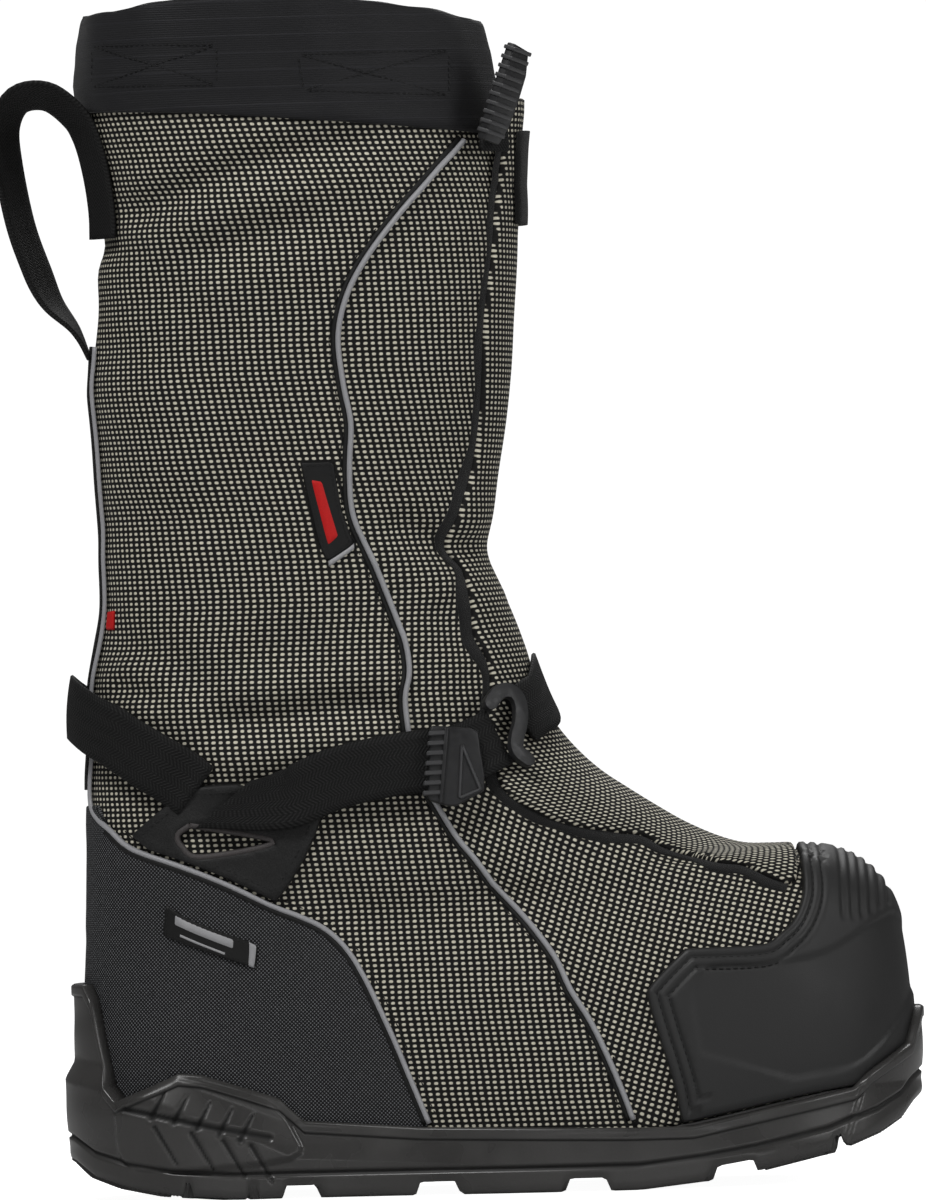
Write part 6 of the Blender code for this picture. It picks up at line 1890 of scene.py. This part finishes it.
def build_top():
    """Comb buckle on its short strap in front of the collar, and the fuzzy tab on the flap."""
    turn = TOP_BUCKLE_TURN
    row = row_of(turn, TOP_BUCKLE_FOOT)
    lean_out = float(flap_lean(np.array(turn), np.array(row)))
    edge = face(np.array(turn), np.array(row), lean_out + TOP_LIFT + STRAP_THICK - TOP_BUCKLE_SEAT, 0.0)
    lean = TOP_BUCKLE_LEAN
    up = np.array([math.sin(lean), 0.0, math.cos(lean)])
    out = np.array([math.cos(lean), 0.0, -math.sin(lean)])
    across = np.array([0.0, 1.0, 0.0])
    face_turn = TOP_BUCKLE_FACE
    across, out = (across * math.cos(face_turn) + out * math.sin(face_turn),
                   out * math.cos(face_turn) - across * math.sin(face_turn))
    origin = edge - across * 8.0 + up * 17.0 + out * 1.0
    frame = (origin, across, up, out)
    plate = [(9.0, -12.0), (10.0, 0.0), (9.5, 10.0), (5.0, 19.5), (-8.5, 20.5), (-9.0, 0.0),
             (-8.5, -20.5), (5.0, -20.5)]
    soft_slab("top_buckle_plate", plate, frame, 0.6, 4.6, [LOOKS["plastic"]], "top_buckle", 0.8)
    # Ribs in the lighter plastic: painted highlight on the comb's teeth.
    for k in range(10):
        high = 19.2 - k * 3.9
        rib = [(-9.6, high), (6.0, high + 0.2), (6.0, high - 1.5), (-9.6, high - 1.7)]
        soft_slab("top_buckle_rib_" + str(k), rib, frame, 0.2, 5.6, [LOOKS["plastic_edge_highlight"]], bevel=0.4)
    path = np.array([(turn + step, row) for step in (-0.10, -0.03, 0.04, 0.11)])

    def lean_lift(f):
        here = turn - 0.10 + 0.21 * f
        return TOP_LIFT + float(flap_lean(np.array(here), np.array(row)))

    ribbon("top_strap_webbing", path, strap_profile(7.0, STRAP_THICK), [LOOKS["webbing"]], "top_strap",
           lift=lean_lift, spacing=1.5, folds=0.0)
    rows = [row_of(math.pi, share) for share in TOP_TAB]
    path = np.array([(math.pi, r) for r in np.linspace(rows[0], rows[1], 6)])

    def tab_lift(f):
        return TOP_LIFT + float(flap_lean(np.array(math.pi), np.array(rows[0] + (rows[1] - rows[0]) * f)))

    asides = np.linspace(-18.0, 18.0, 25)
    fuzzy = [(a, 3.4 - 0.9 * (a / 19.0) ** 4 + 0.35 * math.sin(2.1 * a)) for a in asides]
    flat = [(a, 0.0) for a in np.linspace(18.0, -18.0, 7)]
    profile = [(-19.0, 0.4)] + fuzzy + [(19.0, 0.6)] + flat
    ribbon("pile_tab", path, profile, [LOOKS["pile"]], "top_tab", lift=tab_lift, folds=0.0)


def build_seams():
    """Rows of stitches on the cloth."""
    for side in (-1, 1):
        for line in (SIDE_LINE, COUNTER_LINE[:-1]):
            path = side_places(sideways(catmull(to_mm(line), 3), -3.6), side)
            stitch_row("seam_stitches", path, 0.25, pitch=3.2, length=2.0, radius=0.28)
    for box in CUFF_BOXES:
        for side in (-1, 1):
            corners = to_mm(box)
            for a, b in ((0, 1), (1, 2), (2, 3), (3, 0), (0, 2), (1, 3)):
                path = side_places(evenly(np.array([corners[a], corners[b]]), 4.0), side)
                if len(path) > 2:
                    stitch_row("cuff_stitches", path, 2.6, pitch=2.6, length=1.8, radius=0.26)


# Stage, light and camera
def area_light(name, place, aim, size, power):
    data = bpy.data.lights.new(name, "AREA")
    data.shape = "RECTANGLE"
    data.size, data.size_y = size
    data.energy = power
    obj = bpy.data.objects.new(name, data)
    bpy.context.scene.collection.objects.link(obj)
    obj.location = place
    obj.rotation_euler = (Vector(aim) - Vector(place)).to_track_quat("-Z", "Y").to_euler()


def build_stage():
    """White room, pale floor, four soft lights and the camera of the photo."""
    scene = bpy.context.scene
    world = bpy.data.worlds.new("white_room")
    scene.world = world
    world.use_nodes = True
    tree = world.node_tree
    back = tree.nodes["Background"]
    back.inputs["Color"].default_value = (1.0, 1.0, 1.0, 1.0)
    path = tree.nodes.new("ShaderNodeLightPath")
    strength = tree.nodes.new("ShaderNodeMapRange")
    strength.inputs["To Min"].default_value = WORLD_STRENGTH
    strength.inputs["To Max"].default_value = SHOWN_STRENGTH
    tree.links.new(path.outputs["Is Camera Ray"], strength.inputs["Value"])
    tree.links.new(strength.outputs["Result"], back.inputs["Strength"])
    floor_mesh = bpy.data.meshes.new("white_floor")
    corners = [(a * FLOOR_HALF, b * FLOOR_HALF, -FLOOR_DROP) for a, b in ((-1, -1), (1, -1), (1, 1), (-1, 1))]
    floor_mesh.from_pydata(corners, [], [(0, 1, 2, 3)])
    floor_mesh.materials.append(stage_look("floor_look", (0.6, 0.6, 0.6), FLOOR_GLOW))
    floor = bpy.data.objects.new("white_floor", floor_mesh)
    scene.collection.objects.link(floor)
    for light in LIGHTS:
        area_light(*light)
    camera_data = bpy.data.cameras.new("photo_camera")
    camera = bpy.data.objects.new("photo_camera", camera_data)
    scene.collection.objects.link(camera)
    c, s = math.cos(CAMERA_ROLL), math.sin(CAMERA_ROLL)
    right = Vector((c, 0.0, -s))
    up = Vector((s, 0.0, c))
    back_way = Vector((0.0, -1.0, 0.0))
    turn = Matrix((right, up, back_way)).transposed()
    aim = Vector(CAMERA_AIM) * MM
    camera.matrix_world = Matrix.Translation(aim + back_way * CAMERA_DISTANCE * MM) @ turn.to_4x4()
    camera_data.sensor_fit = "AUTO"
    camera_data.sensor_width = SENSOR
    camera_data.lens = SENSOR * CAMERA_DISTANCE / (IMAGE_HEIGHT * PIXEL)
    scene.camera = camera
    scene.view_settings.view_transform = "Standard"


# All of it
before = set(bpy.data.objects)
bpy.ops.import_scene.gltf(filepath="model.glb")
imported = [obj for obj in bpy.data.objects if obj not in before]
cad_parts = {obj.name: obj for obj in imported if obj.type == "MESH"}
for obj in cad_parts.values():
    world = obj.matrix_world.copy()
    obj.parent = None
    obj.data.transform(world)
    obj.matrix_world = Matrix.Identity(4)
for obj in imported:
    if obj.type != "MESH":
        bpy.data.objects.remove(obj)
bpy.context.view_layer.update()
build_stage()
build_upper()
build_sole()
build_insole()
build_cuff()
build_flap()
build_toe_cap()
build_counter()
build_pipings()
build_piping_shadows()
build_tabs()
build_labels()
build_back()
build_straps()
build_buckle()
build_hook()
build_top()
build_seams()
finish_stitches()
